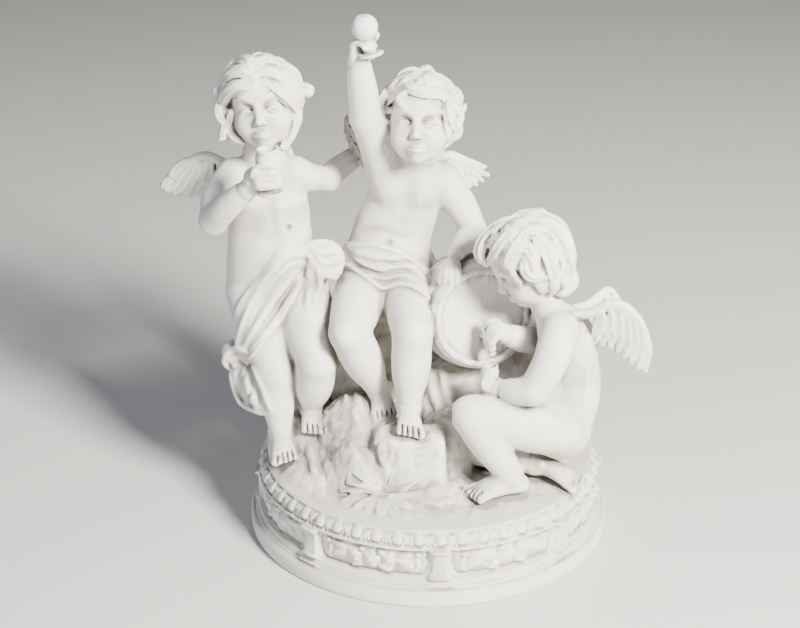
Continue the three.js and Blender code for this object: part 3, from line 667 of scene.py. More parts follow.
def leg(clay, hip, knee, ankle, thigh=18.0, calf=11.0, slim=8.0, facing=FRONT):
    """From hip to ankle, fullest at the thigh and again at the calf, with a soft knee. slim is the half
    size at the ankle."""
    upper = [
        (*hip, thigh),
        (*between(hip, knee, 0.35), thigh * 0.99),
        (*between(hip, knee, 0.72), thigh * 0.86),
        (*knee, KNEE),
    ]
    lower = [
        (*knee, SHIN_TOP),
        (*between(knee, ankle, 0.3), calf * 1.02),
        (*between(knee, ankle, 0.55), calf * 0.94),
        (*between(knee, ankle, 0.8), (calf + 1.6 * slim) / 2.85),
        (*ankle, slim),
    ]
    clay.join(limb(upper, facing=facing), soft=5)
    clay.join(limb(lower, facing=facing), soft=3)
    down = unit(np.subtract(ankle, knee))
    ahead = unit(np.subtract(knee, hip))
    cap = np.asarray(knee) + 7.8 * unit(ahead - 0.55 * down) + 1.0 * down
    clay.join(ball(cap, KNEECAP), soft=5)
    crease(clay, between(knee, ankle, 0.93), down, slim + 0.3)


def crease(clay, centre, axis, radius):
    """A soft fold line round a plump limb."""
    across = unit(np.cross(axis, (0.3, 0.2, 1) if abs(axis[2]) < 0.9 else (1, 0, 0)))
    over = np.cross(axis, across)
    ring = []
    for angle in np.linspace(0, 2 * math.pi, 13):
        point = np.asarray(centre) + radius * (math.cos(angle) * across + math.sin(angle) * over)
        ring.append((*point, CREASE))
    clay.cut(limb(ring, facing=tuple(unit(axis)), spans=2), soft=1.6)


def arm(clay, stations):
    """An arm through five stations, which bends at the third."""
    clay.join(limb(stations[: ELBOW + 1]), soft=4)
    clay.join(limb(stations[ELBOW:]), soft=2.5)
    wrist, before = np.array(stations[-1][:3]), np.array(stations[-2][:3])
    ring = between(wrist, before, 0.12)
    crease(clay, ring, unit(wrist - before), stations[-1][3] + 0.5)


def trunk(clay, stations, facing):
    clay.join(limb(stations, facing=facing, spans=5), soft=4)


def swellings(clay, masses):
    """Rounded masses, each with its place, its half sizes and how softly it joins."""
    for place, sizes, soft in masses:
        clay.join(ball(place, sizes), soft)


def furrows(clay, lines, soft):
    for line in lines:
        clay.cut(limb(line), soft)


# A goblet before its scale, in mm: heights along its axis and half sizes there
GOBLET_FOOT = (8.8, 1.1)
GOBLET_STEM = ((1, 4.6), (3.4, 2.6), (6, 2.1), (10, 2.3))
GOBLET_KNOP = (6.8, 3.3)
GOBLET_BALL = (18.6, 8.9)  # the bowl that is held up and drained, and its mouth
BALL_MOUTH = (28.2, 3.6)
GOBLET_BOWL = ((13, 5.4), (17.5, 7.7), (21, 7.9))
GOBLET_RIM = (26.6, 7.4, 0.9)
GOBLET_HOLLOW = ((27.5, 5.2), (23.5, 5.4))


def goblet(clay, base, up, scale=1.0, drained=False):
    """A goblet turned round its own axis: foot, stem with a knop, and a round bowl. Held up and drained,
    its bowl shows as a ball with a small mouth."""
    axis = unit(up)

    def at(height):
        return np.asarray(base) + axis * height * scale

    def turned(profile):
        return limb([(*at(height), radius * scale, radius * scale) for height, radius in profile])

    def round_at(height, radius):
        return ball(tuple(at(height)), (radius * scale,) * 3)

    clay.join(disc(base, axis, *(size * scale for size in GOBLET_FOOT)), soft=0.5)
    clay.join(turned(GOBLET_STEM), soft=1.2)
    clay.join(round_at(*GOBLET_KNOP), soft=0.6)
    if drained:
        clay.join(round_at(*GOBLET_BALL), soft=0.8)
        clay.cut(round_at(*BALL_MOUTH), soft=0.8)
        return
    clay.join(turned(GOBLET_BOWL), soft=0.8)
    height, radius, half = GOBLET_RIM
    clay.join(disc(at(height), axis, radius * scale, half * scale), soft=0.8)
    clay.cut(turned(GOBLET_HOLLOW), soft=0.6)


def disc(centre, axis, radius, half):
    """A thin round plate with soft edges."""
    centre, axis = np.asarray(centre, float), unit(axis)

    def distance(x, y, z):
        px, py, pz = x - centre[0], y - centre[1], z - centre[2]
        s = px * axis[0] + py * axis[1] + pz * axis[2]
        side = np.sqrt(np.maximum(px * px + py * py + pz * pz - s * s, 0))
        over = np.maximum(side - radius + half, 0)
        return np.sqrt(over**2 + s * s) - half

    reach = radius + half
    return [(centre - reach, centre + reach, distance)]


# Wings: a leading edge, long feathers and shorter ones over them, in the photograph's pixels where they
# show. Each feather is its half width in mm and its line from root to tip.
FEATHER_TILT = 0.3  # how far a feather turns one edge out over the next
FEATHER_HALF = 1.45  # half thickness at its root, and how much thinner its tip is
FEATHER_THINS = 0.35
COVERT_LIFT = 1.7
QUILL = 0.7
QUILL_LIFT = 1.75
WING_EDGE_HALF = 3.1
WING_WEBS = ((0.2, 5.5, 1.5), (0.55, 4, 1.1))  # share along the feathers, half width and half thickness
STANDING_WING_EDGE = (
    (232, 167), (222, 162), (214, 158), (206, 156), (198, 157), (189, 161), (180, 166), (172, 172.5)
)
STANDING_FEATHERS = (
    (2.6, ((186, 163), (173, 175), (162, 186.5))),
    (2.8, ((190, 165), (178, 179), (166.5, 191))),
    (3.0, ((194, 167), (184, 182), (174, 193))),
    (3.0, ((198, 168), (190, 184), (182, 196))),
    (3.0, ((203, 168), (197, 184), (190.5, 196))),
    (3.0, ((208, 168), (204, 184), (199, 196))),
    (3.0, ((214, 170), (211, 185), (208, 197))),
)
STANDING_COVERTS = (
    (2.4, ((186, 161), (177, 168), (170.5, 174.5))),
    (2.4, ((190, 162), (182, 171), (177, 179))),
    (2.4, ((195, 162), (189, 172), (185, 181))),
    (2.4, ((200, 162), (196, 173), (193, 183))),
    (2.4, ((206, 162), (203, 173), (201, 183))),
    (2.4, ((212, 163), (211, 174), (209, 184))),
)
SEATED_WING_EDGE = ((429, 167), (436, 163), (443, 158), (450, 155), (458, 157), (466, 160.5), (474, 164.5))
SEATED_FEATHERS = (
    (1.9, ((460, 158), (473, 163), (485.5, 167.5))),
    (2.3, ((457, 161), (472, 168), (488, 175.5))),
    (2.3, ((454, 163), (469, 172), (482.5, 181))),
    (2.3, ((452, 165), (464, 175), (476.5, 185))),
    (2.3, ((449, 167), (459, 177), (470, 187))),
    (2.3, ((446, 168), (454, 178), (463, 187))),
    (2.3, ((443, 169), (449, 178), (456, 186))),
)
SEATED_COVERTS = (
    (1.9, ((452, 157), (462, 161), (471, 165))),
    (2.0, ((450, 160), (459, 165), (467, 171))),
    (2.0, ((448, 162), (455, 169), (462, 176))),
    (2.0, ((445, 164), (451, 171), (456, 179))),
    (2.0, ((442, 165), (446, 172), (450, 180))),
)
KNEELING_WING_EDGE = (
    (575, 315), (585, 314), (597, 310), (609, 304.5), (620, 304.5),
    (630, 310), (638, 318.5), (643.5, 328), (646.5, 338),
)
KNEELING_FEATHERS = (
    (2.6, ((644, 330), (647.5, 350), (644.5, 371))),
    (2.6, ((639, 326), (641.5, 347), (638, 368))),
    (2.6, ((634, 322), (635.5, 343), (631, 363))),
    (2.6, ((628, 319), (629, 339), (624.5, 357))),
    (2.6, ((622, 317), (622, 335), (617.5, 351.5))),
    (2.8, ((614, 316), (613.5, 332), (610, 347))),
    (2.8, ((606, 316), (605, 331), (602, 344.5))),
    (2.8, ((598, 316), (597, 330), (594, 343))),
)
KNEELING_COVERTS = (
    (2.3, ((638, 318), (642, 332), (643, 346))),
    (2.3, ((632, 314), (635.5, 328), (636, 342))),
    (2.3, ((626, 311), (628.5, 324), (628.5, 338))),
    (2.3, ((619, 309), (620.5, 322), (619.5, 334))),
    (2.4, ((611, 309), (612, 321), (610.5, 332))),
    (2.4, ((602, 311), (603, 321), (601.5, 331))),
)
FAR_WING_EDGE = ((573, 309), (583, 306.5), (592, 302), (600, 295), (607, 290), (613, 292.5), (617, 299))
FAR_FEATHERS = (
    (3.0, ((615, 298), (619, 314), (619, 330))),
    (3.0, ((609, 296), (611, 312), (611, 329))),
    (3.0, ((602, 299), (603, 313), (602, 328))),
    (3.0, ((594, 304), (595, 316), (594, 327))),
    (3.0, ((586, 308), (586, 318), (585, 327))),
)
FAR_COVERTS = (
    (2.4, ((612, 295), (615, 305), (615, 315))),
    (2.4, ((605, 295), (607, 306), (607, 316))),
    (2.4, ((597, 301), (598, 309), (598, 317))),
    (2.4, ((589, 306), (590, 312), (589, 318))),
)
STANDING_WING = (STANDING_WING_EDGE, STANDING_FEATHERS, STANDING_COVERTS)
SEATED_WING = (SEATED_WING_EDGE, SEATED_FEATHERS, SEATED_COVERTS)
KNEELING_WING = (KNEELING_WING_EDGE, KNEELING_FEATHERS, KNEELING_COVERTS)
FAR_WING = (FAR_WING_EDGE, FAR_FEATHERS, FAR_COVERTS)


def wing(clay, edge, feathers, coverts, facing):
    """A wing with its face towards facing: long feathers, shorter ones over both their sides, and a
    rounded leading edge over their roots."""
    normal = unit(facing)
    for share, size, half in WING_WEBS:
        middles = [(*between(line[0], line[-1], share), size, half) for _, line in feathers]
        clay.join(limb(middles, facing=normal), soft=1)
    for width, line in feathers:
        clay.join(feather(width, line, normal, 0), soft=0.25)
        for side in (-1, 1):
            clay.cut(quill(line, side * QUILL_LIFT * normal), soft=0.6)
    for width, line in coverts:
        for side in (-1, 1):
            clay.join(feather(width, line, normal, side * COVERT_LIFT), soft=0.25)
            clay.cut(quill(line, side * (COVERT_LIFT + 1.4) * normal), soft=0.6)
    halves = (WING_EDGE_HALF, 1.1 * WING_EDGE_HALF, 0.55 * WING_EDGE_HALF)
    sizes = np.interp(np.linspace(0, 1, len(edge)), (0, 0.4, 1), halves)
    clay.join(limb([(*place, size) for place, size in zip(edge, sizes)], facing=normal), soft=1.2)


def feather(width, line, normal, lift):
    """A flat blade that widens and then rounds off, with one edge turned out."""
    across = unit(np.cross(line[-1] - line[0], normal))
    blade = []
    for t, place in zip(np.linspace(0, 1, len(line)), line):
        w = 1.18 * width * (0.9 + 0.75 * t - 0.93 * t**3)
        half = FEATHER_HALF - FEATHER_THINS * t
        blade.append((*(place + lift * (1 - 0.4 * t) * normal), w, half))
    return limb(blade, facing=normal + FEATHER_TILT * across, spans=3)


def quill(line, lift):
    """A fine line along a feather, to be pressed in."""
    places = [between(line[0], line[-1], t) + lift * (1.1 - 0.35 * t) for t in (0.1, 0.5, 0.92)]
    return limb([(*place, QUILL) for place in places])


def seen_wing(clay, lines, point, facing):
    """A wing that the photograph shows, on a plane through point."""
    edge, feathers, coverts = lines

    def rows(lines):
        return [(width, on_plane(line, point, facing)) for width, line in lines]

    wing(clay, on_plane(edge, point, facing), rows(feathers), rows(coverts), facing)


HIDDEN_FEATHERS = 7


def hidden_wing(clay, edge, tips, facing):
    """A wing from its leading edge to its feather tips, of the same make as those that show."""
    fine = flow([(*e, *t) for e, t in zip(edge, tips)], 12)
    picks = [fine[int((i + 0.6) / HIDDEN_FEATHERS * (len(fine) - 1))] for i in range(HIDDEN_FEATHERS)]
    rows = []
    for reach, width in ((1.0, 3.4), (0.52, 2.9)):
        tips_at = [(pick[:3], pick[:3] + reach * (pick[3:] - pick[:3])) for pick in picks]
        rows.append([(width, np.linspace(root, tip, 3)) for root, tip in tips_at])
    wing(clay, np.array(edge, float), *rows, facing)


# The plinth
PLINTH_PROFILE = (
    (0, 0),
    (PLINTH_RADIUS - 0.6, 0),
    (PLINTH_RADIUS, 1),
    (PLINTH_RADIUS, BAND_HEIGHT - 3.5),
    (PLINTH_RADIUS - 1.2, BAND_HEIGHT - 1.2),
    (PLINTH_RADIUS - 3.4, BAND_HEIGHT - 0.6),
    (PLINTH_RADIUS - 3.8, BAND_HEIGHT + 0.8),
    (RIM_RADIUS + 0.4, BAND_HEIGHT + 1.4),
    (RIM_RADIUS, FRIEZE_LOW - 0.5),
    (FRIEZE_RADIUS, FRIEZE_LOW + 0.6),
    (FRIEZE_RADIUS, FRIEZE_HIGH - 0.4),
    (RIM_RADIUS - 0.4, FRIEZE_HIGH + 0.2),
    (RIM_RADIUS - 0.4, FRIEZE_HIGH + 1.6),
    (RIM_RADIUS - 2, FRIEZE_HIGH + 2.4),
    (RIM_RADIUS - 1.8, FRIEZE_HIGH + 5),
    (RIM_RADIUS - 3.2, FRIEZE_HIGH + 8.2),
    (GROUND_RADIUS + 2.2, GROUND_LEVEL - 1.4),
    (GROUND_RADIUS + 2.2, GROUND_LEVEL + 0.2),
    (GROUND_RADIUS - 2, GROUND_LEVEL + 0.4),
    (0, GROUND_LEVEL),
)
RELIEF_STEP = 0.25  # mm between the samples of the plinth's relief
FRIEZE_LEAF_HALF = 2.9
EGG_HALVES = (3.9, 4.4)
# How far the parts of the relief stand up, in mm
POST_RELIEF = 3.0
FLOWER_RELIEF = 2.3
BUTTON_RELIEF = 0.8
LEAF_RELIEF = 1.5
RIB_RELIEF = 0.5
LIP_RELIEF = 0.8
GROOVE_RELIEF = 1.3
EGG_RELIEF = 1.9
SHELL_RELIEF = 1.1
DART_RELIEF = 1.3


def outline_distance(r, z, corners):
    """Signed distances to a closed outline that ends on the axis."""
    best = np.full(r.shape, 1e9, np.float32)
    inside = np.zeros(r.shape, bool)
    points = [np.array(corner, float) for corner in corners]
    for a, b in zip(points, points[1:] + points[:1]):
        ab = b - a
        t = np.clip(((r - a[0]) * ab[0] + (z - a[1]) * ab[1]) / (ab @ ab), 0, 1)
        if abs(a[0]) + abs(b[0]) > 0:
            best = np.minimum(best, np.hypot(r - a[0] - t * ab[0], z - a[1] - t * ab[1]))
        crosses = (z < a[1]) != (z < b[1])
        if abs(ab[1]) > 0:
            inside ^= crosses & (r < a[0] + (z - a[1]) * ab[0] / ab[1])
    return np.where(inside, -best, best)


def cord_relief(s, z, path, radius):
    """How far a round cord through flat points stands up."""
    height = np.zeros(s.shape, np.float32)
    points = [np.array(point, float) for point in path]
    for a, b in zip(points[:-1], points[1:]):
        ab = b - a
        t = np.clip(((s - a[0]) * ab[0] + (z - a[1]) * ab[1]) / (ab @ ab), 0, 1)
        gap2 = (s - a[0] - t * ab[0]) ** 2 + (z - a[1] - t * ab[1]) ** 2
        height = np.maximum(height, np.sqrt(np.maximum(radius**2 - gap2, 0)))
    return height


def flower_relief(s, z, at, radius, petals, turn=0.0):
    """A round flower with petals and a button."""
    ds, dz = s - at[0], z - at[1]
    gap = np.hypot(ds, dz)
    lobes = 0.5 + 0.5 * np.cos(petals * np.arctan2(dz, ds) + turn)
    edge = radius * (0.8 + 0.2 * np.sqrt(lobes))
    dome = FLOWER_RELIEF * np.sqrt(np.clip(1 - (gap / edge) ** 2, 0, 1)) * (0.72 + 0.28 * lobes)
    button = BUTTON_RELIEF * np.sqrt(np.clip(1 - (gap / (0.26 * radius)) ** 2, 0, 1))
    return dome + button


def leaf_relief(s, z, root, tip, width):
    """A pointed leaf with a rib, lying flat."""
    way = np.subtract(tip, root)
    length = float(np.hypot(*way))
    way = way / length
    t = np.clip(((s - root[0]) * way[0] + (z - root[1]) * way[1]) / length, 0, 1)
    across = np.hypot(s - root[0] - t * length * way[0], z - root[1] - t * length * way[1])
    half = width * (0.2 + 2.6 * t * (1.15 - t)) + 0.01
    rib = RIB_RELIEF * np.clip(1 - across / 0.45, 0, 1) * (t < 1)
    return LEAF_RELIEF * np.sqrt(np.clip(1 - (across / half) ** 2, 0, 1)) - rib


# The flowers and leaves of one panel, from its middle: place, half size and petals; root and tip
FRIEZE_FLOWERS = (
    ((0, 0.4), 6.4, 5),
    ((-12.2, 1.8), 5.6, 5),
    ((12.4, 1.6), 5.6, 5),
    ((-6.3, 7), 2.6, 5),
    ((6.4, 6.8), 2.6, 5),
)
FRIEZE_LEAVES = (
    ((17.6, 1.6), (27, -2.4)),
    ((5.6, -3.6), (12.5, -6.6)),
    ((17.6, 4), (25.6, 6)),
)


def panel_relief(s, z, half):
    """One panel of the frieze from its middle, s: a bunch of flowers hung on a string from its corners."""
    middle = (FRIEZE_LOW + FRIEZE_HIGH) / 2
    side = np.abs(s)
    height = np.zeros(s.shape, np.float32)
    for (across, up), size, petals in FRIEZE_FLOWERS:
        height = np.maximum(height, flower_relief(s, z, (across, middle + up), size, petals, across))
    lift = np.array([0, middle])
    for root, tip in FRIEZE_LEAVES:
        height = np.maximum(height, leaf_relief(side, z, root + lift, tip + lift, FRIEZE_LEAF_HALF))
    knot = np.array([half - 15, FRIEZE_HIGH - 3.4])
    string = [(17, middle + 2.4), (24, middle + 3.6), knot]
    height = np.maximum(height, cord_relief(side, z, string, 1.1))
    height = np.maximum(height, flower_relief(side, z, knot, 2.2, 4, 0.6))
    ribbon = [knot, knot + (-1.4, -4.5), knot + (0.6, -8.5), knot + (-1.4, -12.5)]
    height = np.maximum(height, cord_relief(side, z, ribbon, 0.85))
    flare = np.clip((middle - 2 - z) / (middle - 2 - FRIEZE_LOW), 0, 1) ** 2
    neck = np.clip((z - FRIEZE_HIGH + 6) / 6, 0, 1)
    post = half - 6.2 - 3.4 * flare - 0.5 * neck
    step = np.clip((side - post) / 1.5, 0, 1) ** 0.7
    height = np.maximum(height * (step < 0.1), POST_RELIEF * step)
    frame_line = [(0, FRIEZE_LOW + 2.4), (half - 13, FRIEZE_LOW + 2.4), (half - 10, FRIEZE_LOW + 5)]
    frame_line += [(half - 8.4, middle), (half - 8.8, FRIEZE_HIGH - 2)]
    groove = cord_relief(side, z, frame_line, 0.9)
    lip = cord_relief(side, z, [(0, FRIEZE_LOW + 0.9), (half - 12, FRIEZE_LOW + 0.9)], 0.8)
    return height + (LIP_RELIEF * lip - GROOVE_RELIEF * groove) * (step < 0.1)


def egg_relief(s, z, pitch):
    """Eggs in their shells, with a dart between each two."""
    side = np.abs((s + pitch / 2) % pitch - pitch / 2)
    dz = z - (FRIEZE_HIGH + 7.2)
    egg = np.sqrt((side / EGG_HALVES[0]) ** 2 + (dz / EGG_HALVES[1]) ** 2)
    dome = EGG_RELIEF * np.sqrt(np.clip(1 - egg**2, 0, 1))
    shell = SHELL_RELIEF * np.clip(1 - ((egg - 1.36) / 0.17) ** 2, 0, 1) * (dz < 2.6)
    away = pitch / 2 - side
    narrows = 1.7 * np.clip((z - FRIEZE_HIGH - 1.6) / 7, 0.05, 1)
    dart = DART_RELIEF * np.clip(1 - away / narrows, 0, 1) ** 0.7
    dart = dart * (dz < 2.2)
    band = np.clip((z - FRIEZE_HIGH - 1.6) / 0.8, 0, 1) * np.clip((GROUND_LEVEL - 0.6 - z) / 0.8, 0, 1)
    return np.maximum(np.maximum(dome, shell), dart) * band - 0.5 * band


def plinth(clay):
    reach = PLINTH_RADIUS + 2 * MARGIN
    window = clay.window((-reach, -reach, -2 * MARGIN), (reach, reach, GROUND_LEVEL + 2 * MARGIN))
    x, y, z = clay.places(window)
    r_line = np.arange(0, reach * 1.5, RELIEF_STEP, dtype=np.float32)
    flat = outline_distance(*np.meshgrid(r_line, z.ravel(), indexing="ij"), PLINTH_PROFILE)
    radius = np.hypot(x[:, :, 0], y[:, :, 0])
    place = radius / RELIEF_STEP
    low = place.astype(int)
    share = (place - low)[:, :, None].astype(np.float32)
    skin = flat[low] * (1 - share) + flat[low + 1] * share
    angle = np.arctan2(x[:, :, 0], -y[:, :, 0])
    ring = (radius > GROUND_RADIUS - 4) & (radius < PLINTH_RADIUS)
    half = math.pi / PANELS * RIM_RADIUS
    around = (angle[ring] - FRONT_UPRIGHT) * RIM_RADIUS
    s = ((around % (2 * half)) - half)[:, None]
    levels = z.ravel()[None, :]
    frieze = panel_relief(s + 0 * levels, levels + 0 * s, half)
    foot = POST_RELIEF * np.clip((np.abs(s) - half + 10.5) / 2.5, 0, 1) * (levels > BAND_HEIGHT + 1)
    frieze = np.where(levels > FRIEZE_LOW + 0.5, frieze, foot * 0.3) * (levels < FRIEZE_HIGH + 0.6)
    pitch = 2 * math.pi * RIM_RADIUS / EGGS
    eggs = egg_relief(around[:, None] + 0 * levels, levels + 0 * s, pitch)
    skin[ring] = skin[ring] - frieze - np.where(levels > FRIEZE_HIGH + 1.4, eggs, 0)
    clay.field[window] = np.minimum(clay.field[window], skin)


# The rocky ground: boulders that carry the figures, and a ledge under the seated cupid's foot
BOULDERS = (
    ((-34, 26, 104), (42, 38, 56)),
    ((8, 36, 92), (44, 36, 40)),
    ((16, 6, 84), (36, 30, 38)),
    ((54, 14, 92), (34, 34, 46)),
    ((-80, -6, 56), (34, 30, 24)),
    ((-64, -36, 50), (36, 28, 20)),
    ((-48, -20, 68), (28, 28, 32)),
    ((72, 34, 50), (48, 46, 24)),
    ((-28, -36, 62), (20, 20, 31)),
    ((12, -32, 66), (20, 20, 28)),
    ((-44, -48, 60), (23, 23, 26)),
    ((6, -66, 48), (22, 18, 13)),
    ((-36, 30, 60), (44, 40, 24)),
    ((10, 40, 56), (44, 38, 21)),
)
BOULDER_SHARE = 0.97  # of those sizes, since the bumps add to them
ROCK_BLOCK = ((-114, -114, GROUND_LEVEL - 8), (118, 114, 172))
LEDGE_AT = (-12.5, -56, 70)
LEDGE_HALVES = (23.5, 13, 23)
LEDGE_BUMPS_FROM = (-40, -84, GROUND_LEVEL + 4)
LEDGE_BUMPS_TO = (18, -42, LEDGE_AT[2] + LEDGE_HALVES[2] + 6)
# Lines of the rock, in the photograph's pixels
LEDGE_VALLEYS = (
    ((387, 440), (388, 452), (386, 465)),
    ((378, 441), (374, 454), (379, 468)),
    ((396, 449), (395, 460), (390, 474)),
)
LEDGE_HATCH = (
    ((408, 445), (418, 443), (428, 439), (437, 434)),
    ((404, 453), (416, 450), (428, 445), (441, 438)),
    ((402, 461), (415, 459), (428, 452), (442, 443)),
    ((409, 467), (420, 465), (431, 459), (441, 452)),
)
ROCK_RIDGES = (
    ((346, 396), (351, 409), (357, 422), (363, 436)),
    ((356, 394), (361, 407), (366, 420), (369, 432)),
    ((350, 440), (356, 452), (360, 462)),
    ((309, 446), (312, 460), (315, 474)),
    ((430, 370), (433, 390), (437, 408)),
    ((441, 368), (443, 386), (447, 402)),
    ((322, 436), (330, 444), (340, 448)),
)
ROCK_VALLEYS = (
    ((351, 390), (349, 410), (347, 432)),
    ((363, 398), (367, 412), (371, 428), (373, 446), (379, 466), (384, 484)),
    ((316, 446), (319, 460), (321, 474)),
    ((356, 440), (361, 452), (367, 464)),
    ((436, 372), (438, 388), (442, 404)),
    ((446, 420), (448, 436), (450, 454)),
    ((303, 450), (305, 464), (309, 476)),
)
# Bumps of the rock: how high, how long, their seed and how much they are drawn out upwards
ROCK_BUMPS = ((1.2, 30, 3, 1), (0.6, 12, 11, 0.6), (0.35, 5.5, 23, 0.7))
LEDGE_BUMPS = ((0.8, 11, 71, 0.5), (0.4, 5, 83, 0.7))
MOST_BUMP = 3.4  # mm, so that no bump comes loose
LEAF_FACING = unit((0, -0.5, 1))
LEAF_RISE = 0.9
LEAF_STEPS = 9


def waves(x, y, z, length, seed):
    """Smooth bumps from -1 to 1, of about that length, the same every time."""
    total = 0
    for i in range(4):
        way = np.array([scatter(seed + 7 * i + k) - 0.5 for k in range(3)])
        way = 2 * math.pi * unit(way) / (length * (0.8 + 0.5 * scatter(seed + i)))
        shift = 6.28 * scatter(seed + 31 * i)
        swirl = 1.4 * np.sin((x * way[1] - y * way[0] + z * way[2]) * 0.7 + shift * 2)
        total = total + np.sin(x * way[0] + y * way[1] + z * way[2] + shift + swirl)
    return total / 4


def bumps_of(rows, x, y, z):
    return sum(high * waves(x, y, draw * z, length, seed) for high, length, seed, draw in rows)


def ground(clay):
    """Boulders on a low swell, bumpy and cracked, kept within the plinth's edge."""
    low, high = np.array(ROCK_BLOCK)
    rock = Clay(low, high)
    x, y, z = rock.places(rock.window(low, high))
    rock.join([(low, high, swell_of_ground)], soft=1)
    for at, size in BOULDERS:
        rock.join(ball(at, [BOULDER_SHARE * n for n in size]), soft=7)
    rock.field -= weathering(x, y, z)
    ledge(rock)
    edge = np.hypot(x, y) - (GROUND_RADIUS + 0.5) - 0.06 * np.maximum(z - GROUND_LEVEL, 0)
    rock.field = np.maximum(rock.field, edge)
    clay.merge(rock, soft=1.2)


def weathering(x, y, z):
    """How far the rock stands out by its bumps, folds and cracks."""
    edge = np.clip((GROUND_RADIUS - 3 - np.hypot(x, y)) / 8, 0, 1)
    steep = np.clip((z - GROUND_LEVEL - 14) / 22, 0, 1)
    bumps = bumps_of(ROCK_BUMPS, x, y, z)
    bumps = bumps + 0.8 * waves(x, y, z, 6, 91) * np.clip((x - 84) / 8, 0, 1)
    rear = np.clip((y + 4) / 22, 0, 1) * np.clip((z - GROUND_LEVEL - 8) / 16, 0, 1)
    boulders = 1.0 * waves(x, y, z, 34, 107)
    bumps = bumps + rear * (boulders + 2.4 * (0.4 - np.abs(waves(x, y, 0.7 * z, 21, 131))))
    folds = (1.3 + 0.6 * rear) * steep * (0.5 - np.abs(waves(x, y, 0.22 * z, 13, 41)))
    cracks = 1.3 * (1 - steep) * np.clip(0.25 - np.abs(waves(x, y, z, 17, 57)), 0, 1)
    relief = np.clip(bumps + folds - 2.4 * cracks, -MOST_BUMP, MOST_BUMP)
    return (relief * edge).astype(np.float32)


def swell_of_ground(x, y, z):
    """The distance to ground that is a little higher in its middle."""
    return z - GROUND_LEVEL - 4.5 * np.clip(1 - np.hypot(x, y) / GROUND_RADIUS, 0, 1) ** 0.7


def slab(centre, halves, turn, corner):
    """A block with rounded corners and half sizes along the rows of turn."""
    turn, halves = np.asarray(turn, float), np.asarray(halves, float)

    def distance(x, y, z):
        px, py, pz = x - centre[0], y - centre[1], z - centre[2]
        gaps = [
            np.abs(px * row[0] + py * row[1] + pz * row[2]) - half + corner
            for row, half in zip(turn, halves)
        ]
        outside = np.sqrt(sum(np.maximum(gap, 0) ** 2 for gap in gaps))
        inside = np.minimum(np.maximum(np.maximum(gaps[0], gaps[1]), gaps[2]), 0)
        return outside + inside - corner

    reach = np.abs(turn.T) @ halves
    return [(np.array(centre) - reach, np.array(centre) + reach, distance)]


def ledge(rock):
    """A flat-topped block of rock under the seated cupid's left foot."""
    turn = stance((0.05, -1, -0.06), (-0.02, -0.06, 1))
    rock.join(slab(LEDGE_AT, LEDGE_HALVES, turn, corner=6), soft=4)
    window = rock.window(LEDGE_BUMPS_FROM, LEDGE_BUMPS_TO)
    rock.field[window] -= bumps_of(LEDGE_BUMPS, *rock.places(window)).astype(np.float32)
    press_lines(rock, LEDGE_VALLEYS, radius=1.3, lift=0.2, soft=1.2)
    press_lines(rock, LEDGE_HATCH, radius=1.0, lift=0.3, soft=1)
    raise_lines(rock, ROCK_RIDGES, radius=2.8, lift=-1.3, soft=3)
    press_lines(rock, ROCK_VALLEYS, radius=1.5, lift=0.8, soft=2.4)


# Leaves from root to tip, in the photograph's pixels, each with its half width in mm
LEAVES = (
    (3.6, ((381, 491), (370, 486), (358, 483), (348, 482))),
    (3.6, ((380, 493), (367, 490), (353, 489), (341, 490))),
    (3.6, ((381, 495), (368, 496), (355, 498), (344, 501))),
    (3.8, ((382, 497), (373, 501), (364, 505), (355, 508))),
    (3.8, ((383, 498), (377, 504), (371, 509), (366, 513))),
    (3.8, ((385, 498), (383, 505), (381, 511), (379, 516))),
    (3.8, ((387, 498), (390, 505), (393, 511), (396, 515))),
    (3.6, ((389, 497), (397, 502), (405, 506), (411, 509))),
    (3.2, ((390, 495), (400, 497), (411, 496), (422, 494))),
    (3.0, ((389, 491), (399, 490), (408, 486), (415, 481))),
    (2.6, ((380, 489), (371, 483), (362, 477), (354, 472))),
    (1.8, ((386, 488), (389, 480), (391, 473))),
    (1.8, ((420, 500), (430, 503), (441, 503))),
)


def leaves(clay):
    """Long leaves that spread over the ground in front of the ledge, and a few that stand against it."""
    for i, (width, line) in enumerate(LEAVES):
        places = clay.seen(evenly(line, LEAF_STEPS), settle=3)
        blade, rib = [], []
        for t, place in zip(np.linspace(0, 1, len(places)), places):
            w = width * (0.4 + 2.3 * t - 2.1 * t**2)
            lift = LEAF_RISE * math.sin(math.pi * t) + 0.5 * (i % 2)
            spot = place + lift * LEAF_FACING
            blade.append((*spot, max(w, 0.9), max(0.5 * w, 1.0)))
            rib.append((*(spot + 0.5 * max(w, 0.9) * LEAF_FACING), 0.55))
        clay.join(limb(blade, facing=LEAF_FACING, spans=1), soft=1.8)
        clay.cut(limb(rib[1:-1], facing=LEAF_FACING, spans=1), soft=0.7)


# The barrel: the middles of its heads and its half sizes, in mm
BARREL_FRONT = (36, -22, 160)
BARREL_REAR = (20, 28, 150)
HEAD_RADIUS = 29.5
HEAD_DEPTH = 3.2
CHINE = 33
BELLY = 37
STAVES = 18
BOARDS = 5
HOOPS = (0.1, 0.3, 0.7, 0.9)  # shares of its length
HOOP_HALF = 3.4
HOOP_RISE = 1.2
SEAM_DEPTH = 0.7
BOARD_SEAM_DEPTH = 0.45
GRAIN_DEPTH = 0.12
TAP_BARREL = ((38, -14, 148, 2.8), (41, -41, 147, 3))
TAP_COLLAR = ((40.2, -33, 147.4), (4, 2, 4))
TAP_SPOUT = ((41, -38, 149, 2.8), (41, -39, 141.5, 2.3))
TAP_MOUTH = (41, -38.6, 142)


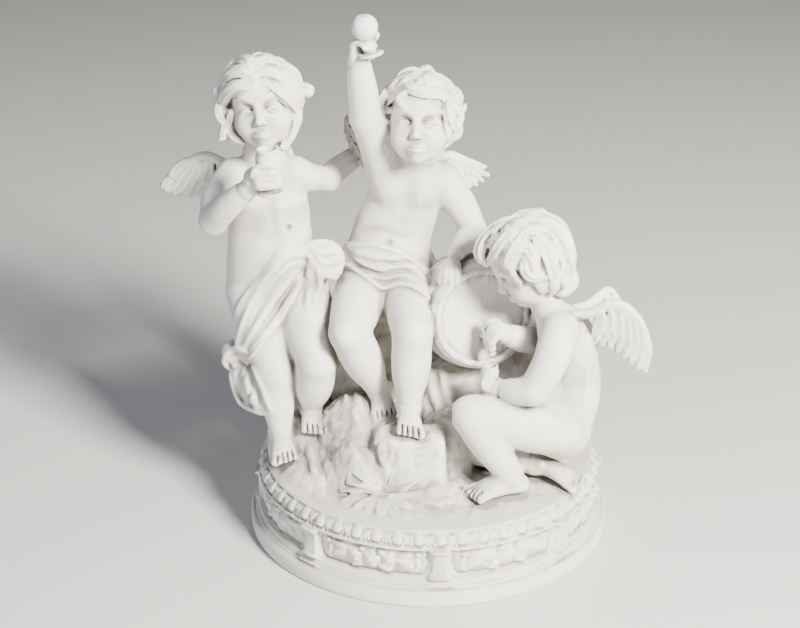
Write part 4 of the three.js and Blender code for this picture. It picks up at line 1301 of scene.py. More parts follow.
def barrel(clay):
    """Staves with four hoops, two heads set in behind their rims, and a tap in the front head."""
    front, rear = np.array(BARREL_FRONT, float), np.array(BARREL_REAR, float)
    length = float(np.linalg.norm(rear - front))
    axis = (rear - front) / length
    over = unit(np.cross(axis, (1, 0, 0)))
    over = over if over[2] > 0 else -over
    side = np.cross(axis, over)

    def distance(x, y, z):
        px, py, pz = x - front[0], y - front[1], z - front[2]
        a = px * axis[0] + py * axis[1] + pz * axis[2]
        h = px * over[0] + py * over[1] + pz * over[2]
        s = px * side[0] + py * side[1] + pz * side[2]
        ring = np.hypot(h, s)
        mid = np.clip((a - length / 2) / (length / 2), -1.2, 1.2)
        wall = CHINE + (BELLY - CHINE) * (1 - mid * mid)
        seam = np.clip(1 - np.abs(np.sin(STAVES / 2 * np.arctan2(h, s))) * 9, 0, 1)
        hoops = 0.0
        for place in HOOPS:
            hoops = hoops + np.clip((HOOP_HALF - np.abs(a - place * length)) / 0.8, 0, 1)
        hoops = np.clip(hoops, 0, 1)
        wall = wall + HOOP_RISE * hoops - SEAM_DEPTH * seam * (1 - hoops)
        body = np.maximum(ring - wall, np.abs(a - length / 2) - length / 2)
        joints = np.abs(np.sin(math.pi * s * BOARDS / (2 * HEAD_RADIUS)))
        boards = BOARD_SEAM_DEPTH * np.clip(1 - joints * 8, 0, 1)
        grain = GRAIN_DEPTH * np.sin(1.9 * s + 1.6 * np.sin(0.13 * h + 0.4 * s)) * np.sin(0.11 * h + s)
        head = np.minimum(a, length - a) - HEAD_DEPTH - boards - grain
        return np.maximum(body, -np.maximum(ring - HEAD_RADIUS, head))

    reach = BELLY + 3
    low = np.minimum(front, rear) - reach
    high = np.maximum(front, rear) + reach
    clay.join([(low, high, distance)], soft=0.8)
    clay.join(limb(TAP_BARREL, facing=UP), soft=1)
    clay.join(ball(*TAP_COLLAR), soft=1)
    clay.join(limb(TAP_SPOUT), soft=1)
    clay.join(disc(TAP_MOUTH, UP, radius=3, half=1), soft=0.6)


# Locks that show in the photograph: half width, then places right and up of the head's middle
STANDING_LOCKS = (
    (5.4, 0.75, [(-1.5, 16.5), (7, 15.5), (15, 12), (22, 9), (28.5, 8)]),
    (5.0, 0.35, [(3.5, 11.5), (12.5, 5.5), (19, 0), (21.5, -6.5), (19, -13)]),
    (5.0, 0.6, [(19.5, -4), (20.5, -10.5), (17.5, -17), (14.5, -23), (12.5, -28)]),
    (4.2, 0.35, [(-6.5, 21), (0.5, 24.5), (7, 23.5), (10, 20)]),
    (5.6, 0.35, [(-1.5, 16.5), (-8, 23), (-14.5, 24.5), (-20, 20.5), (-24.5, 15.5)]),
    (5.4, 0.35, [(-4, 12.5), (-11, 16.5), (-18.5, 15.5), (-24.5, 11), (-29, 5), (-28.5, -1.5)]),
    (4.4, 0.35, [(-6.5, 8), (-14, 8), (-21, 5.5), (-25.5, 0), (-23, -6), (-18.5, -6.5)]),
    (4.8, 0.35, [(-26.5, 2), (-27.5, -5.5), (-25, -11.5), (-20, -15.5)]),
    (4.2, 0.35, [(-22, -8), (-23, -14.5), (-25, -20), (-27.5, -23.5)]),
    (5.0, 0.45, [(-19, -8), (-20.5, -15), (-18.5, -21), (-13.5, -25)]),
    (1.7, 0.35, [(-9.5, 10), (-5, 9), (-1, 11.5), (-1, 16)]),
    (4.0, 0.35, [(10, 18), (16.5, 12.5), (20.5, 5), (23.5, -2.5)]),
)
SEATED_LOCKS = (
    (4.4, 0.35, [(-11, 25), (-7, 19.5), (-0.5, 16.5), (7.5, 15.5), (14.5, 14.5), (18.5, 9)]),
    (4.4, 0.35, [(-11, 29), (-5.5, 25.5), (2, 23), (10, 21.5), (17, 19), (21.5, 14)]),
    (4.2, 0.35, [(-4.5, 30.5), (2, 29), (8.5, 27.5), (15, 26), (20.5, 22)]),
    (3.2, 0.35, [(-0.5, 27), (0, 31.5), (4.5, 34), (8.5, 32)]),
    (3.8, 0.35, [(-0.5, 32), (-7, 32), (-13, 29), (-17.5, 23.5)]),
    (4.2, 0.35, [(-7, 27.5), (-13.5, 25), (-18.5, 20.5), (-19.5, 15), (-15.5, 12)]),
    (4.2, 0.35, [(-15.5, 22), (-21.5, 19), (-24.5, 14), (-23.5, 8), (-18.5, 6)]),
    (3.6, 0.35, [(-20.5, 11), (-25, 7.5), (-25, 1.5), (-20.5, -1)]),
    (2.8, 0.35, [(-5, 19.5), (-10.5, 15.5), (-14, 12), (-11.5, 8), (-7.5, 9)]),
    (4.2, 0.35, [(17.5, 23), (23, 17.5), (23.5, 12), (20.5, 7.5)]),
    (2.8, 0.35, [(20.5, 8), (24, 7.5), (27.5, 8.5), (29, 11)]),
    (4.2, 0.35, [(17, 12), (22.5, 6), (24, 0), (21, -5.5)]),
    (3.6, 0.35, [(20.5, 2), (24, -3), (23, -9), (17.5, -13)]),
    (2.8, 0.35, [(15, -2), (17, -7), (17, -12), (14.5, -15.5)]),
)
KNEELING_LOCKS = (
    (6.2, 0.35, [(-6, 25), (-16, 22.5), (-23.5, 17.5), (-29.5, 11), (-31.5, 3.5), (-27.5, -2)]),
    (5.2, 0.35, [(-3.5, 18.5), (-12.5, 16), (-19, 10), (-23, 3.5), (-27, -1)]),
    (5.0, 0.35, [(0.5, 21), (-6, 14), (-11.5, 7), (-15.5, -1), (-12.5, -7.5)]),
    (7.4, 0.35, [(2, 23.5), (11, 21), (18.5, 13.5), (22, 3.5), (24, -6), (27, -14.5)]),
    (5.8, 0.35, [(0.5, 16), (6.5, 9), (10.5, 0), (12.5, -9), (15, -17.5)]),
    (4.8, 0.35, [(-4.5, 8), (-0.5, 0), (1.5, -8), (6, -15)]),
    (5.2, 0.35, [(19.5, -1), (25, -7.5), (27, -13.5), (22, -19.5), (16, -20)]),
    (3.6, 0.35, [(10, -7.5), (14.5, -14.5), (14, -19.5), (8.5, -22)]),
    (2.6, 0.35, [(-14.5, -1.5), (-12, -8.5), (-8, -13.5), (-7, -19)]),
    (4.4, 0.35, [(7.5, 31), (-2.5, 29), (-11.5, 25.5), (-19, 21)]),
    (4.0, 0.35, [(10, 29), (18.5, 23.5), (24, 14.5), (27.5, 5.5)]),
)


# The standing cupid, in mm: x, y, z, half width and half depth, or half size where both are the same
STANDING_BLOCK = ((-186, -66, 60), (-34, 72, 346))
STANDING_TRUNK = (
    (-106, 8, 156, 29, 20),
    (-107, 7, 180, 30, 20.5),
    (-107, 4, 205, 28, 19.5),
    (-107, 4, 230, 26, 17),
    (-110, 7, 248, 22, 12.5),
    (-110, 6, 257, 15, 10),
    (-110, 2, 276, 11, 10.5),
)
STANDING_MASSES = (
    ((-101, -3, 206), (20, 13, 18), 8),
    ((-117, -5, 236), (9, 7, 8), 7),
    ((-98, -5, 236), (9, 7, 8), 7),
    ((-119, 20, 168), (14, 12, 15), 5),
    ((-119, 18, 236), (8, 5, 12), 6),
    ((-95, 20, 168), (14, 12, 15), 5),
    ((-97, 18, 236), (8, 5, 12), 6),
)
STANDING_NAVEL = ((-93, -12.5, 220), (1.6, 2.6, 1.4))
STANDING_FURROWS = (
    ((-107, -14.5, 240, 0.6), (-105, -17, 226, 0.8), (-104, -18.5, 212, 0.5)),
    ((-109, 22, 240, 0.8), (-107, 24.5, 215, 1.2), (-107, 28, 185, 1.2)),
)
STANDING_NAPE = ((-109, 9, 262), (13, 8.5, 12))
STANDING_HEAD = (-108, -3, 302)
STANDING_LEG = ((-120, 8, 166), (-104, -20, 120), (-101, -23, 72))  # hip, knee and ankle
FREE_LEG = ((-87, 8, 166), (-75, -28, 130), (-81, -12, 88))
DRINKING_ARM = (
    (-129, 4, 250, 12),
    (-139, -7, 239, 10.6),
    (-141, -22, 228, 9.2),
    (-130, -36, 243, 8.8),
    (-115, -47, 259, 6.6),
)
EMBRACING_ARM = (
    (-90, 8, 250, 12),
    (-80, 22, 242, 9.6),
    (-70, 40, 235, 8.6),
    (-62, 50, 240, 8.2),
    (-48, 60, 247, 6.8),
)
STANDING_FIST = ((-110, -50, 267), (7.5, 6.5, 8))
STANDING_FINGERS = ((-102, -55, 269.6), (9, 6.6, 8))
STANDING_WING_ROOT = ((-120, 13, 246, 6.5), (-131, 19, 245, 4.6), (-141, 23, 246, 3.2))
STANDING_WING_AT = (-150, 26, 240)
STANDING_HIDDEN_WING = (
    ((-98, 18, 238), (-95, 30, 250), (-97, 44, 254), (-101, 56, 248), (-104, 64, 238)),
    ((-96, 26, 220), (-97, 36, 218), (-99, 47, 217), (-102, 57, 220), (-104, 64, 228)),
)


def standing_cupid():
    """Drinks with the right hand and lays the left arm behind the seated cupid."""
    clay = Clay(*STANDING_BLOCK)
    trunk(clay, STANDING_TRUNK, (0.1, -1, 0))
    swellings(clay, STANDING_MASSES)
    clay.cut(ball(*STANDING_NAVEL), soft=1.6)
    furrows(clay, STANDING_FURROWS, 5)
    leg(clay, *STANDING_LEG, calf=11.6)
    foot(clay, (-102, -19, 68), (-97, -45, 68), big=1)
    leg(clay, *FREE_LEG, thigh=19, calf=13.6)
    foot(clay, (-82, -8, 83), (-77, -30, 82), big=-1)
    clay.join(ball(*STANDING_NAPE), soft=6)
    head = Head(clay, STANDING_HEAD, (-0.06, -0.985, 0.12), (-0.16, 0.12, 0.98))
    head.face(lids=0.9)
    head.cap(lift=2.4)
    head.hair(seed=100, crown=0.72)
    head.dress(STANDING_LOCKS)
    arm(clay, DRINKING_ARM)
    goblet(clay, (-100, -52, 259), (-0.05, 0, 1), scale=1.05)
    clay.join(ball(*STANDING_FIST), soft=3)
    clay.join(slab(*STANDING_FINGERS, stance(FRONT, (-0.08, 0, 1)), corner=5), soft=1.6)
    press_lines(clay, FIST_VALLEYS, radius=0.8, lift=0.2, soft=1, taper=0.3)
    raise_lines(clay, [FIST_THUMB], radius=2.3, lift=-0.4, soft=0.8, taper=0.2)
    arm(clay, EMBRACING_ARM)
    hand(clay, (-42, 57, 251), (0.8, -0.5, 0.1), (0.1, 0, -1), bend=1.2, thumb=-1)
    standing_cloth(clay)
    clay.join(limb(STANDING_WING_ROOT), soft=2)
    seen_wing(clay, STANDING_WING, STANDING_WING_AT, (-0.25, -1, 0))
    hidden_wing(clay, *STANDING_HIDDEN_WING, (1, 0, 0.1))
    return clay


# Lines of the standing cupid's fist and sash, in the photograph's pixels
FIST_VALLEYS = (
    ((261, 170.5), (268, 169.5), (275, 170), (280, 172)),
    ((259, 176.5), (268, 176), (275, 176.5), (280, 178.5)),
    ((259, 182.5), (268, 182.5), (275, 183), (280, 185)),
)
FIST_THUMB = ((252, 176), (256, 169), (262, 165.5), (267, 165))
SASH_TOP = (
    (312, 252), (300, 248), (288, 246), (277, 256), (268, 270), (256, 284), (245, 298), (238, 312), (234, 330)
)
SASH_HEM = (
    (316, 268), (308, 274), (300, 285), (290, 302), (280, 320), (270, 333), (259, 347), (252, 355), (246, 362)
)
SASH_VALLEYS = (
    ((297, 270), (286, 277), (275, 285), (262, 303), (249, 328)),
    ((300, 268), (292, 284), (282, 302), (270, 319), (256, 338), (246, 350)),
    ((281, 270), (268, 284), (256, 302), (246, 324), (240, 340)),
)
SASH_RIDGES = (
    ((300, 260), (284, 268), (270, 280), (255, 298), (244, 322), (236, 344)),
    ((302, 264), (288, 281), (274, 298), (259, 322), (244, 346)),
    ((304, 270), (296, 287), (284, 308), (268, 328), (250, 350)),
    ((304, 256), (292, 254), (281, 260), (270, 272), (256, 288)),
)
GATHER_RIDGES = (((249, 352), (238, 348), (228, 353), (225, 362), (230, 369)),)
GATHER_VALLEY = ((252, 358), (243, 365), (234, 370), (228, 369))
TAIL_RIDGES = (
    ((253, 366), (261, 382), (266, 396), (271, 411)),
    ((231, 373), (235, 388), (239, 401)),
    ((239, 402), (251, 408), (262, 412), (271, 411)),
)
TAIL_MIDDLE = ((246, 370), (250, 385), (256, 402))
TAIL_VALLEYS = (
    ((246, 368), (242, 380), (239, 394)),
    ((253, 372), (252, 386), (248, 400)),
    ((259, 386), (260, 396), (258, 406)),
)
KNOT_TAILS = (((310, 262), (311, 277), (309, 294), (308, 311)), ((317, 266), (318, 282), (315, 300)))
KNOT_VALLEYS = (
    ((306, 249), (314, 256), (318, 266)),
    ((320, 265), (330, 268), (341, 266)),
    ((319, 256), (328, 257), (338, 253)),
    ((317, 246), (323, 246), (330, 242)),
    ((314, 268), (315, 286), (312, 306)),
    ((304, 272), (303, 290), (302, 306)),
)


# The parts of the cloths that no line gives, in mm: the hanging end, the bow of the knot, and the paths
# of the upper edges behind the backs with half widths there
TAIL_BODY = (
    (-128, -8, 118, 7, 6),
    (-127, -10, 110, 8.4, 5),
    (-122, -13, 102, 9.4, 4.4),
    (-117, -16, 93, 9.4, 4),
)
TAIL_FLAP = (
    (-121, -13, 119, 5, 4),
    (-118, -20, 110, 7.5, 4),
    (-115, -23, 101, 8, 3.6),
    (-113, -25, 95, 6.5, 3),
)
TAIL_FACING = (-0.3, -1, 0)
GATHER = ((-131, -5, 126), (10.5, 8.5, 9))
KNOT_BOWS = (
    ((-80, -8, 204, 5, 5), (-74, -6, 200, 9, 8), (-67.5, -4, 197, 9.5, 9), (-64, -2, 190, 7, 7)),
    ((-78, -10, 200, 4, 5), (-72, -8, 192, 8, 7), (-65.5, -5, 187, 7, 7)),
)
STANDING_WRAP = (
    (-76, -6, 200, 5),
    (-84, 24, 194, 5),
    (-104, 33, 186, 5),
    (-126, 23, 177, 5),
    (-131, 6, 162, 2),
)
LAP_WRAP = (
    (-52, 12, 196, 1.4),
    (-50, 36, 194, 3.2),
    (-28, 45, 190, 4.2),
    (-6, 40, 186, 3.6),
    (4, 18, 180, 2),
)


def wrap_behind(clay, path, deep, drops, soft):
    """Cloth across a back: one broad band along the path of its upper edge, with soft folds along it."""
    clay.join(limb([(x, y, z - deep, w, deep) for x, y, z, w in path], facing=UP), soft)
    for n, drop in enumerate(drops):
        sag = 1.6 * math.sin(1.7 * n + 0.6)
        fold = []
        for i, (x, y, z, w) in enumerate(path):
            dip = sag * math.sin(math.pi * i / (len(path) - 1))
            fold.append((x, y, z - drop - dip, w + 1.2 if i < len(path) - 1 else w, 2.4))
        clay.join(limb(fold, facing=UP), soft=1.6)


def standing_cloth(clay):
    """The sash is knotted at the left hip, sags over the right thigh, is gathered there and hangs down."""
    wrap_behind(clay, STANDING_WRAP, deep=13, drops=(0, 7, 16, 25), soft=2.5)
    clay.join(limb(TAIL_BODY, facing=TAIL_FACING, grooves=6, depth=0.08, twist=0.01), soft=2.5)
    clay.join(limb(TAIL_FLAP, facing=TAIL_FACING), soft=2.5)
    sheet(clay, SASH_TOP, SASH_HEM, rows=16, thick=2.4)
    raise_lines(clay, SASH_RIDGES, radius=3, lift=-0.6)
    clay.join(ball(*GATHER), soft=3)
    press_lines(clay, SASH_VALLEYS, radius=1.3, lift=0.5, soft=1.8)
    press_lines(clay, [SASH_TOP[3:]], radius=1.1, lift=1, soft=1)
    raise_lines(clay, [SASH_HEM], radius=1.6, lift=0, soft=1, taper=0.3)
    raise_lines(clay, [TAIL_MIDDLE], radius=4.5, lift=-1.8, soft=3, taper=0.4)
    raise_lines(clay, GATHER_RIDGES + TAIL_RIDGES, radius=2.6, lift=-0.4, soft=1.2, taper=0.5)
    press_lines(clay, (GATHER_VALLEY, *TAIL_VALLEYS), radius=1.1, lift=0.4, soft=1.4)
    for bow in KNOT_BOWS:
        clay.join(limb(bow, grooves=6, depth=0.06, twist=0.03), soft=1.6)
    raise_lines(clay, KNOT_TAILS, radius=3.6, lift=-1.4, soft=2.2, taper=0.6)
    press_lines(clay, KNOT_VALLEYS, radius=1.5, lift=0.4, soft=1.4)


# The seated cupid, in mm
SEATED_BLOCK = ((-70, -74, 84), (48, 70, 372))
SEATED_TRUNK = (
    (-30, 18, 158, 31, 21),
    (-29, 22, 184, 28.5, 20.5),
    (-24, 24, 208, 26, 19.5),
    (-16, 23, 232, 24, 17),
    (-13, 20, 249, 20, 12),
    (-11, 18, 257, 13, 10),
    (-8, 12, 274, 10, 10),
)
SEATED_MASSES = (
    ((-27, 12, 194), (20, 13, 14), 8),
    ((-26, 10, 237), (9, 7, 8), 7),
    ((-5, 10, 236), (9, 7, 8), 7),
    ((-27, 36, 232), (8, 5, 12), 6),
    ((-3, 36, 232), (8, 5, 12), 6),
)
SEATED_NAVEL = ((-27, -0.5, 205), (1.8, 2.8, 1.4))
SEATED_FURROWS = (
    ((-16, 3, 243, 0.6), (-19, 3, 230, 0.8), (-22, 2.5, 219, 0.5)),
    ((-14, 38, 240, 0.8), (-20, 42, 215, 1.2), (-27, 42, 190, 1.2)),
)
SEATED_NAPE = ((-10, 20, 261), (12, 9, 13))
SEATED_HEAD = (-6.5, 7, 287)
DRAWN_BACK_LEG = ((-45, 16, 168), (-53, -36, 155), (-34, -22, 106))  # hip, knee and ankle
LEDGE_LEG = ((-14, 16, 168), (-11, -38, 155), (-13, -46, 106))
RAISED_ARM = (
    (-28, 20, 242, 14),
    (-34, 15, 266, 12.6),
    (-42, 6, 290, 10.8),
    (-44, -2, 311, 9.6),
    (-46, -9, 333, 7.2),
)
RAISED_THUMB = ((-39, -9, 345, 2.6), (-35.5, -11, 347.5, 2.2), (-34, -13, 350, 1.7))
BARREL_ARM = (
    (7, 24, 239, 13),
    (21, 28, 221, 10.6),
    (29.5, 28, 203, 8.9),
    (24.5, 13, 202, 8.4),
    (17.5, -3, 198, 5.8),
)
SEATED_WING_AT = (15, 40, 240)
SEATED_HIDDEN_WING = (
    ((-30, 38, 240), (-38, 44, 255), (-46, 50, 266), (-51, 54, 272), (-54, 58, 275)),
    ((-42, 46, 238), (-49, 50, 244), (-54, 54, 252), (-57, 57, 260), (-56, 60, 268)),
)


def seated_cupid():
    """Sits beside the barrel, holds a drained goblet up and rests the left hand on the barrel."""
    clay = Clay(*SEATED_BLOCK)
    trunk(clay, SEATED_TRUNK, (0.1, -1, 0.15))
    swellings(clay, SEATED_MASSES)
    clay.cut(ball(*SEATED_NAVEL), soft=1.6)
    press_lines(clay, [BELLY_CREASE], radius=1.6, lift=0.3, soft=2.4)
    furrows(clay, SEATED_FURROWS, 5)
    leg(clay, *DRAWN_BACK_LEG, calf=13.6)
    foot(clay, (-33, -17, 103), (-30, -34, 95), big=1, up=(0, -0.5, 0.9))
    leg(clay, *LEDGE_LEG, calf=13)
    foot(clay, (-14, -42, 101), (-12, -65, 99), big=-1)
    clay.join(ball(*SEATED_NAPE), soft=6)
    head = Head(clay, SEATED_HEAD, (-0.12, -0.957, 0.26), (0.0, 0.26, 0.965))
    head.face(lids=0.5)
    head.cap()
    head.hair(seed=300)
    head.dress(SEATED_LOCKS)
    arm(clay, RAISED_ARM)
    hand(clay, (-47, -10, 336), (0.1, -0.1, 1), (0.8, -0.6, 0.1), bend=2.4, thumb=1)
    goblet(clay, (-38, -16, 338), (-0.22, 0.05, 1), scale=0.95, drained=True)
    clay.join(limb(RAISED_THUMB), soft=0.8)
    arm(clay, BARREL_ARM)
    hand(clay, (15, -12, 194.5), (-0.12, -0.88, -0.46), (0, 0.46, -0.88), bend=1.9, thumb=-1)
    raise_lines(clay, BARREL_HAND_FINGERS, radius=2.1, lift=-0.1, soft=0.5, taper=0.3)
    lap_cloth(clay)
    seen_wing(clay, SEATED_WING, SEATED_WING_AT, (0.25, -1, 0))
    hidden_wing(clay, *SEATED_HIDDEN_WING, (0.2, -1, 0.1))
    return clay


# Lines of the seated cupid's left hand, lap cloth and belly, in the photograph's pixels
BARREL_HAND_FINGERS = (
    ((442, 270), (440.5, 277), (440.5, 284)),
    ((446.5, 269), (445.5, 278), (445.5, 287)),
    ((451.5, 269), (451, 279), (451, 289)),
    ((456.5, 268), (457, 277), (457, 285)),
)
LAP_TOP = ((347, 246), (359, 245), (372, 244), (385, 248), (397, 251), (406, 256), (422, 267), (434, 282))
LAP_HEM = (
    (343, 264), (356, 270), (370, 280), (382, 288), (393, 285), (404, 284), (416, 288), (427, 296), (435, 304)
)
LAP_VALLEYS = (
    ((380, 260), (388, 263), (397, 263), (408, 261), (418, 265)),
    ((350, 258), (361, 267), (372, 271), (383, 274), (394, 271), (406, 271), (416, 276), (426, 285)),
    ((366, 273), (376, 281), (386, 283), (395, 280), (407, 281), (417, 283)),
)
LAP_RIDGES = (
    ((350, 250), (364, 254), (378, 257), (394, 258), (408, 259), (422, 270)),
    ((352, 255), (366, 264), (380, 268), (396, 268), (412, 268), (427, 282)),
    ((364, 270), (374, 276), (386, 279), (396, 276), (410, 277), (424, 286)),
)
NAVEL = (389, 242)
NAVEL_HALVES = (1.7, 1.8, 1.4)  # mm
BELLY_CREASE = ((358, 231), (366, 230), (376, 229), (388, 232), (400, 236), (412, 238))


def lap_cloth(clay):
    """A strip of cloth lies across the lap and behind the hips."""
    wrap_behind(clay, LAP_WRAP, deep=11, drops=(0, 6, 12, 19), soft=2)
    sheet(clay, LAP_TOP, LAP_HEM, rows=14, thick=2.6)
    raise_lines(clay, LAP_RIDGES, radius=2.8, lift=-0.5)
    press_lines(clay, LAP_VALLEYS, radius=1.3, lift=0.4, soft=1.6)
    raise_lines(clay, [LAP_HEM], radius=1.7, lift=0.1, soft=1, taper=0.2)
    raise_lines(clay, [LAP_TOP], radius=1.3, lift=0.2, soft=1, taper=0.2)
    clay.cut(ball(clay.seen([NAVEL])[0], NAVEL_HALVES), soft=2.6)


# Lines of the kneeling cupid's hands, in the photograph's pixels
CUP_HAND_VALLEYS = (((482, 383.5), (488, 384), (495, 384)), ((482, 388), (488, 388.5), (495, 388.5)))
TAP_HAND_FINGERS = (
    ((502, 325), (495, 321), (488, 322), (484, 328), (486, 335)),
    ((503, 333), (498, 336), (494, 341), (492, 346)),
)
TAP_HAND_VALLEYS = (((504, 329), (498, 328), (491, 329)), ((503, 324), (497, 325), (490, 326)))


# The kneeling cupid, in mm
KNEELING_BLOCK = ((16, -84, 42), (150, 10, 246))
KNEELING_TRUNK = (
    (84, -36, 82, 20, 14),
    (89, -36, 94, 22.5, 20.5),
    (94, -35, 114, 21.5, 20.5),
    (93, -34, 136, 21, 19),
    (87, -34, 157, 20, 16),
    (80, -34, 169, 13, 11),
    (70, -34, 188, 10, 10),
)
KNEELING_MASSES = (
    ((80, -36, 118), (12, 17, 16), 8),
    ((91, -47, 86), (15, 12, 17), 5),
    ((103, -43, 148), (5, 9, 12), 8),
    ((91, -25, 86), (15, 12, 17), 5),
    ((103, -25, 148), (5, 9, 12), 8),
)
KNEELING_FURROWS = (
    ((116, -36, 96, 1.1), (119, -36, 84, 1.4), (112, -36, 70, 1.2)),
    ((114, -34.5, 136, 0.6), (116, -35, 122, 0.9), (116.5, -35.5, 110, 0.9)),
)
KNEELING_HEAD = (64.5, -36, 207)
NEAR_LEG = ((88, -47, 92), (28, -62, 108), (53, -68, 69))  # hip, knee and ankle
FAR_LEG = ((86, -28, 84), (23, -29, 70), (72, -42, 62))
CUP_ARM = (
    (85, -50, 164, 12.6),
    (78, -62, 146, 11.4),
    (68, -65, 128, 10),
    (57, -61, 125, 8.8),
    (48, -54, 123, 6.8),
)
CUP_FINGERS = ((40.5, -50, 124), (7, 5.6, 5))
TAP_ARM = (
    (80, -16, 162, 11.6),
    (77, -13, 152, 10),
    (72, -18, 142, 9.2),
    (60, -28, 148, 8.6),
    (50, -34, 154, 6.8),
)
TAP_FIST = ((44.5, -37, 158), (7, 5, 6))
KNEELING_WING_AT = (120, -50, 155)
FAR_WING_AT = (110, -10, 160)


def kneeling_cupid():
    """Kneels before the barrel with one hand on its tap, and holds a small goblet under it."""
    clay = Clay(*KNEELING_BLOCK)
    trunk(clay, KNEELING_TRUNK, (-1, 0, 0.2))
    swellings(clay, KNEELING_MASSES)
    furrows(clay, KNEELING_FURROWS, 4)
    leg(clay, *NEAR_LEG, thigh=19.5, calf=13.2, slim=10, facing=(0, -1, 0.4))
    foot(clay, (56.5, -68, 60.5), (31.5, -74, 58), big=1, size=1.16)
    leg(clay, *FAR_LEG, thigh=16.5, calf=12, slim=8.5, facing=UP)
    foot(clay, (78, -44, 61), (97, -55, 57), big=1, up=(0.2, -0.25, 0.95))
    head = Head(clay, KNEELING_HEAD, (-0.84, -0.12, -0.52), (-0.5, -0.1, 0.86))
    head.face(lids=0.9)
    head.cap()
    head.hair(seed=500)
    head.dress(KNEELING_LOCKS)
    arm(clay, CUP_ARM)
    hand(clay, (47, -53, 123), (-0.9, 0.3, 0), (-0.2, 0.3, 0.9), bend=2.2, thumb=1)
    goblet(clay, (40, -48, 117.5), UP, scale=0.74)
    clay.join(slab(*CUP_FINGERS, stance(FRONT, UP), corner=4), soft=1.4)
    press_lines(clay, CUP_HAND_VALLEYS, radius=0.7, lift=0.2, soft=0.8, taper=0.3)
    arm(clay, TAP_ARM)
    hand(clay, (49, -35, 155), (-0.85, -0.35, 0.1), (0, 0.2, -1), bend=2.4, thumb=-1)
    clay.join(ball(*TAP_FIST), soft=1.6)
    raise_lines(clay, TAP_HAND_FINGERS, radius=2.1, lift=-0.3, soft=0.6, taper=0.25)
    press_lines(clay, TAP_HAND_VALLEYS, radius=0.7, lift=0.2, soft=0.8, taper=0.3)
    seen_wing(clay, KNEELING_WING, KNEELING_WING_AT, (-0.22, -1, 0))
    seen_wing(clay, FAR_WING, FAR_WING_AT, (0.6, -1, 0))
    return clay


ROOM = 4  # mm of samples round the solid's box


def carved_group():
    """The whole group as one field."""
    low = np.array(solid_box[0]) / MM - ROOM
    high = np.array(solid_box[1]) / MM + ROOM
    clay = Clay(low, high)
    plinth(clay)
    ground(clay)
    leaves(clay)
    barrel(clay)
    for cupid in (standing_cupid, seated_cupid, kneeling_cupid):
        clay.merge(cupid(), soft=0.9)
    return clay


BAND = 3 * PITCH  # distances past this don't shape the skin


def skin_mesh(clay, name):
    """The zero level of the field as a closed mesh in metres."""
    grid = openvdb.FloatGrid(BAND)
    grid.copyFromArray(np.clip(clay.field, -BAND, BAND), tolerance=0)
    points, quads = grid.convertToQuads(isovalue=0)
    points = (points + clay.start) * PITCH * MM
    mesh = bpy.data.meshes.new(name)
    mesh.vertices.add(len(points))
    mesh.vertices.foreach_set("co", points.astype(np.float32).ravel())
    mesh.loops.add(4 * len(quads))
    mesh.loops.foreach_set("vertex_index", quads.ravel().astype(np.int32))
    mesh.polygons.add(len(quads))
    mesh.polygons.foreach_set("loop_start", np.arange(0, 4 * len(quads), 4, dtype=np.int32))
    mesh.update(calc_edges=True)
    return mesh


def thinned(mesh, triangles, name):
    """The mesh with fewer triangles, closest to its shape."""
    scratch = bpy.data.objects.new(name + ".scratch", mesh)
    bpy.context.scene.collection.objects.link(scratch)
    scratch.modifiers.new("whole", "TRIANGULATE")
    thin = scratch.modifiers.new("thin", "DECIMATE")
    thin.ratio = min(1.0, triangles / (2 * len(mesh.polygons)))
    graph = bpy.context.evaluated_depsgraph_get()
    result = bpy.data.meshes.new_from_object(scratch.evaluated_get(graph))
    bpy.data.objects.remove(scratch)
    result.name = name
    return result


def in_one_part(mesh):
    """Takes away crumbs that hang loose of the largest part. Each vertex takes the lowest label that it
    can reach along the edges."""
    ends = np.empty(2 * len(mesh.edges), np.int32)
    mesh.edges.foreach_get("vertices", ends)
    first, second = ends.reshape(-1, 2).T
    label = np.arange(len(mesh.vertices))
    while True:
        low = np.minimum(label[first], label[second])
        lower = label.copy()
        np.minimum.at(lower, first, low)
        np.minimum.at(lower, second, low)
        lower = lower[lower]
        if (lower == label).all():
            break
        label = lower
    loose = label != np.bincount(label).argmax()
    work = bmesh.new()
    work.from_mesh(mesh)
    work.verts.ensure_lookup_table()
    bmesh.ops.delete(work, geom=[work.verts[i] for i in np.flatnonzero(loose)], context="VERTS")
    work.to_mesh(mesh)
    work.free()


def sampled(clay, points):
    """The field at points in millimetres, between its samples."""
    place = points / PITCH - clay.start
    low = np.clip(np.floor(place).astype(int), 0, np.array(clay.field.shape) - 2)
    share = np.clip(place - low, 0, 1)
    total = 0
    for corner in np.ndindex(2, 2, 2):
        weight = np.prod(np.where(corner, share, 1 - share), axis=1)
        i, j, k = (low + corner).T
        total = total + weight * clay.field[i, j, k]
    return total


HOLLOW_REACH = 3.2  # mm out from the skin where the hollows are felt
SLOPE_STEP = 0.6  # mm to each side where the field's slope is felt
LEAST_SLOPE = 0.2  # under these, the mesh's own normal is the safer one
LEAST_AGREEMENT = 0.3


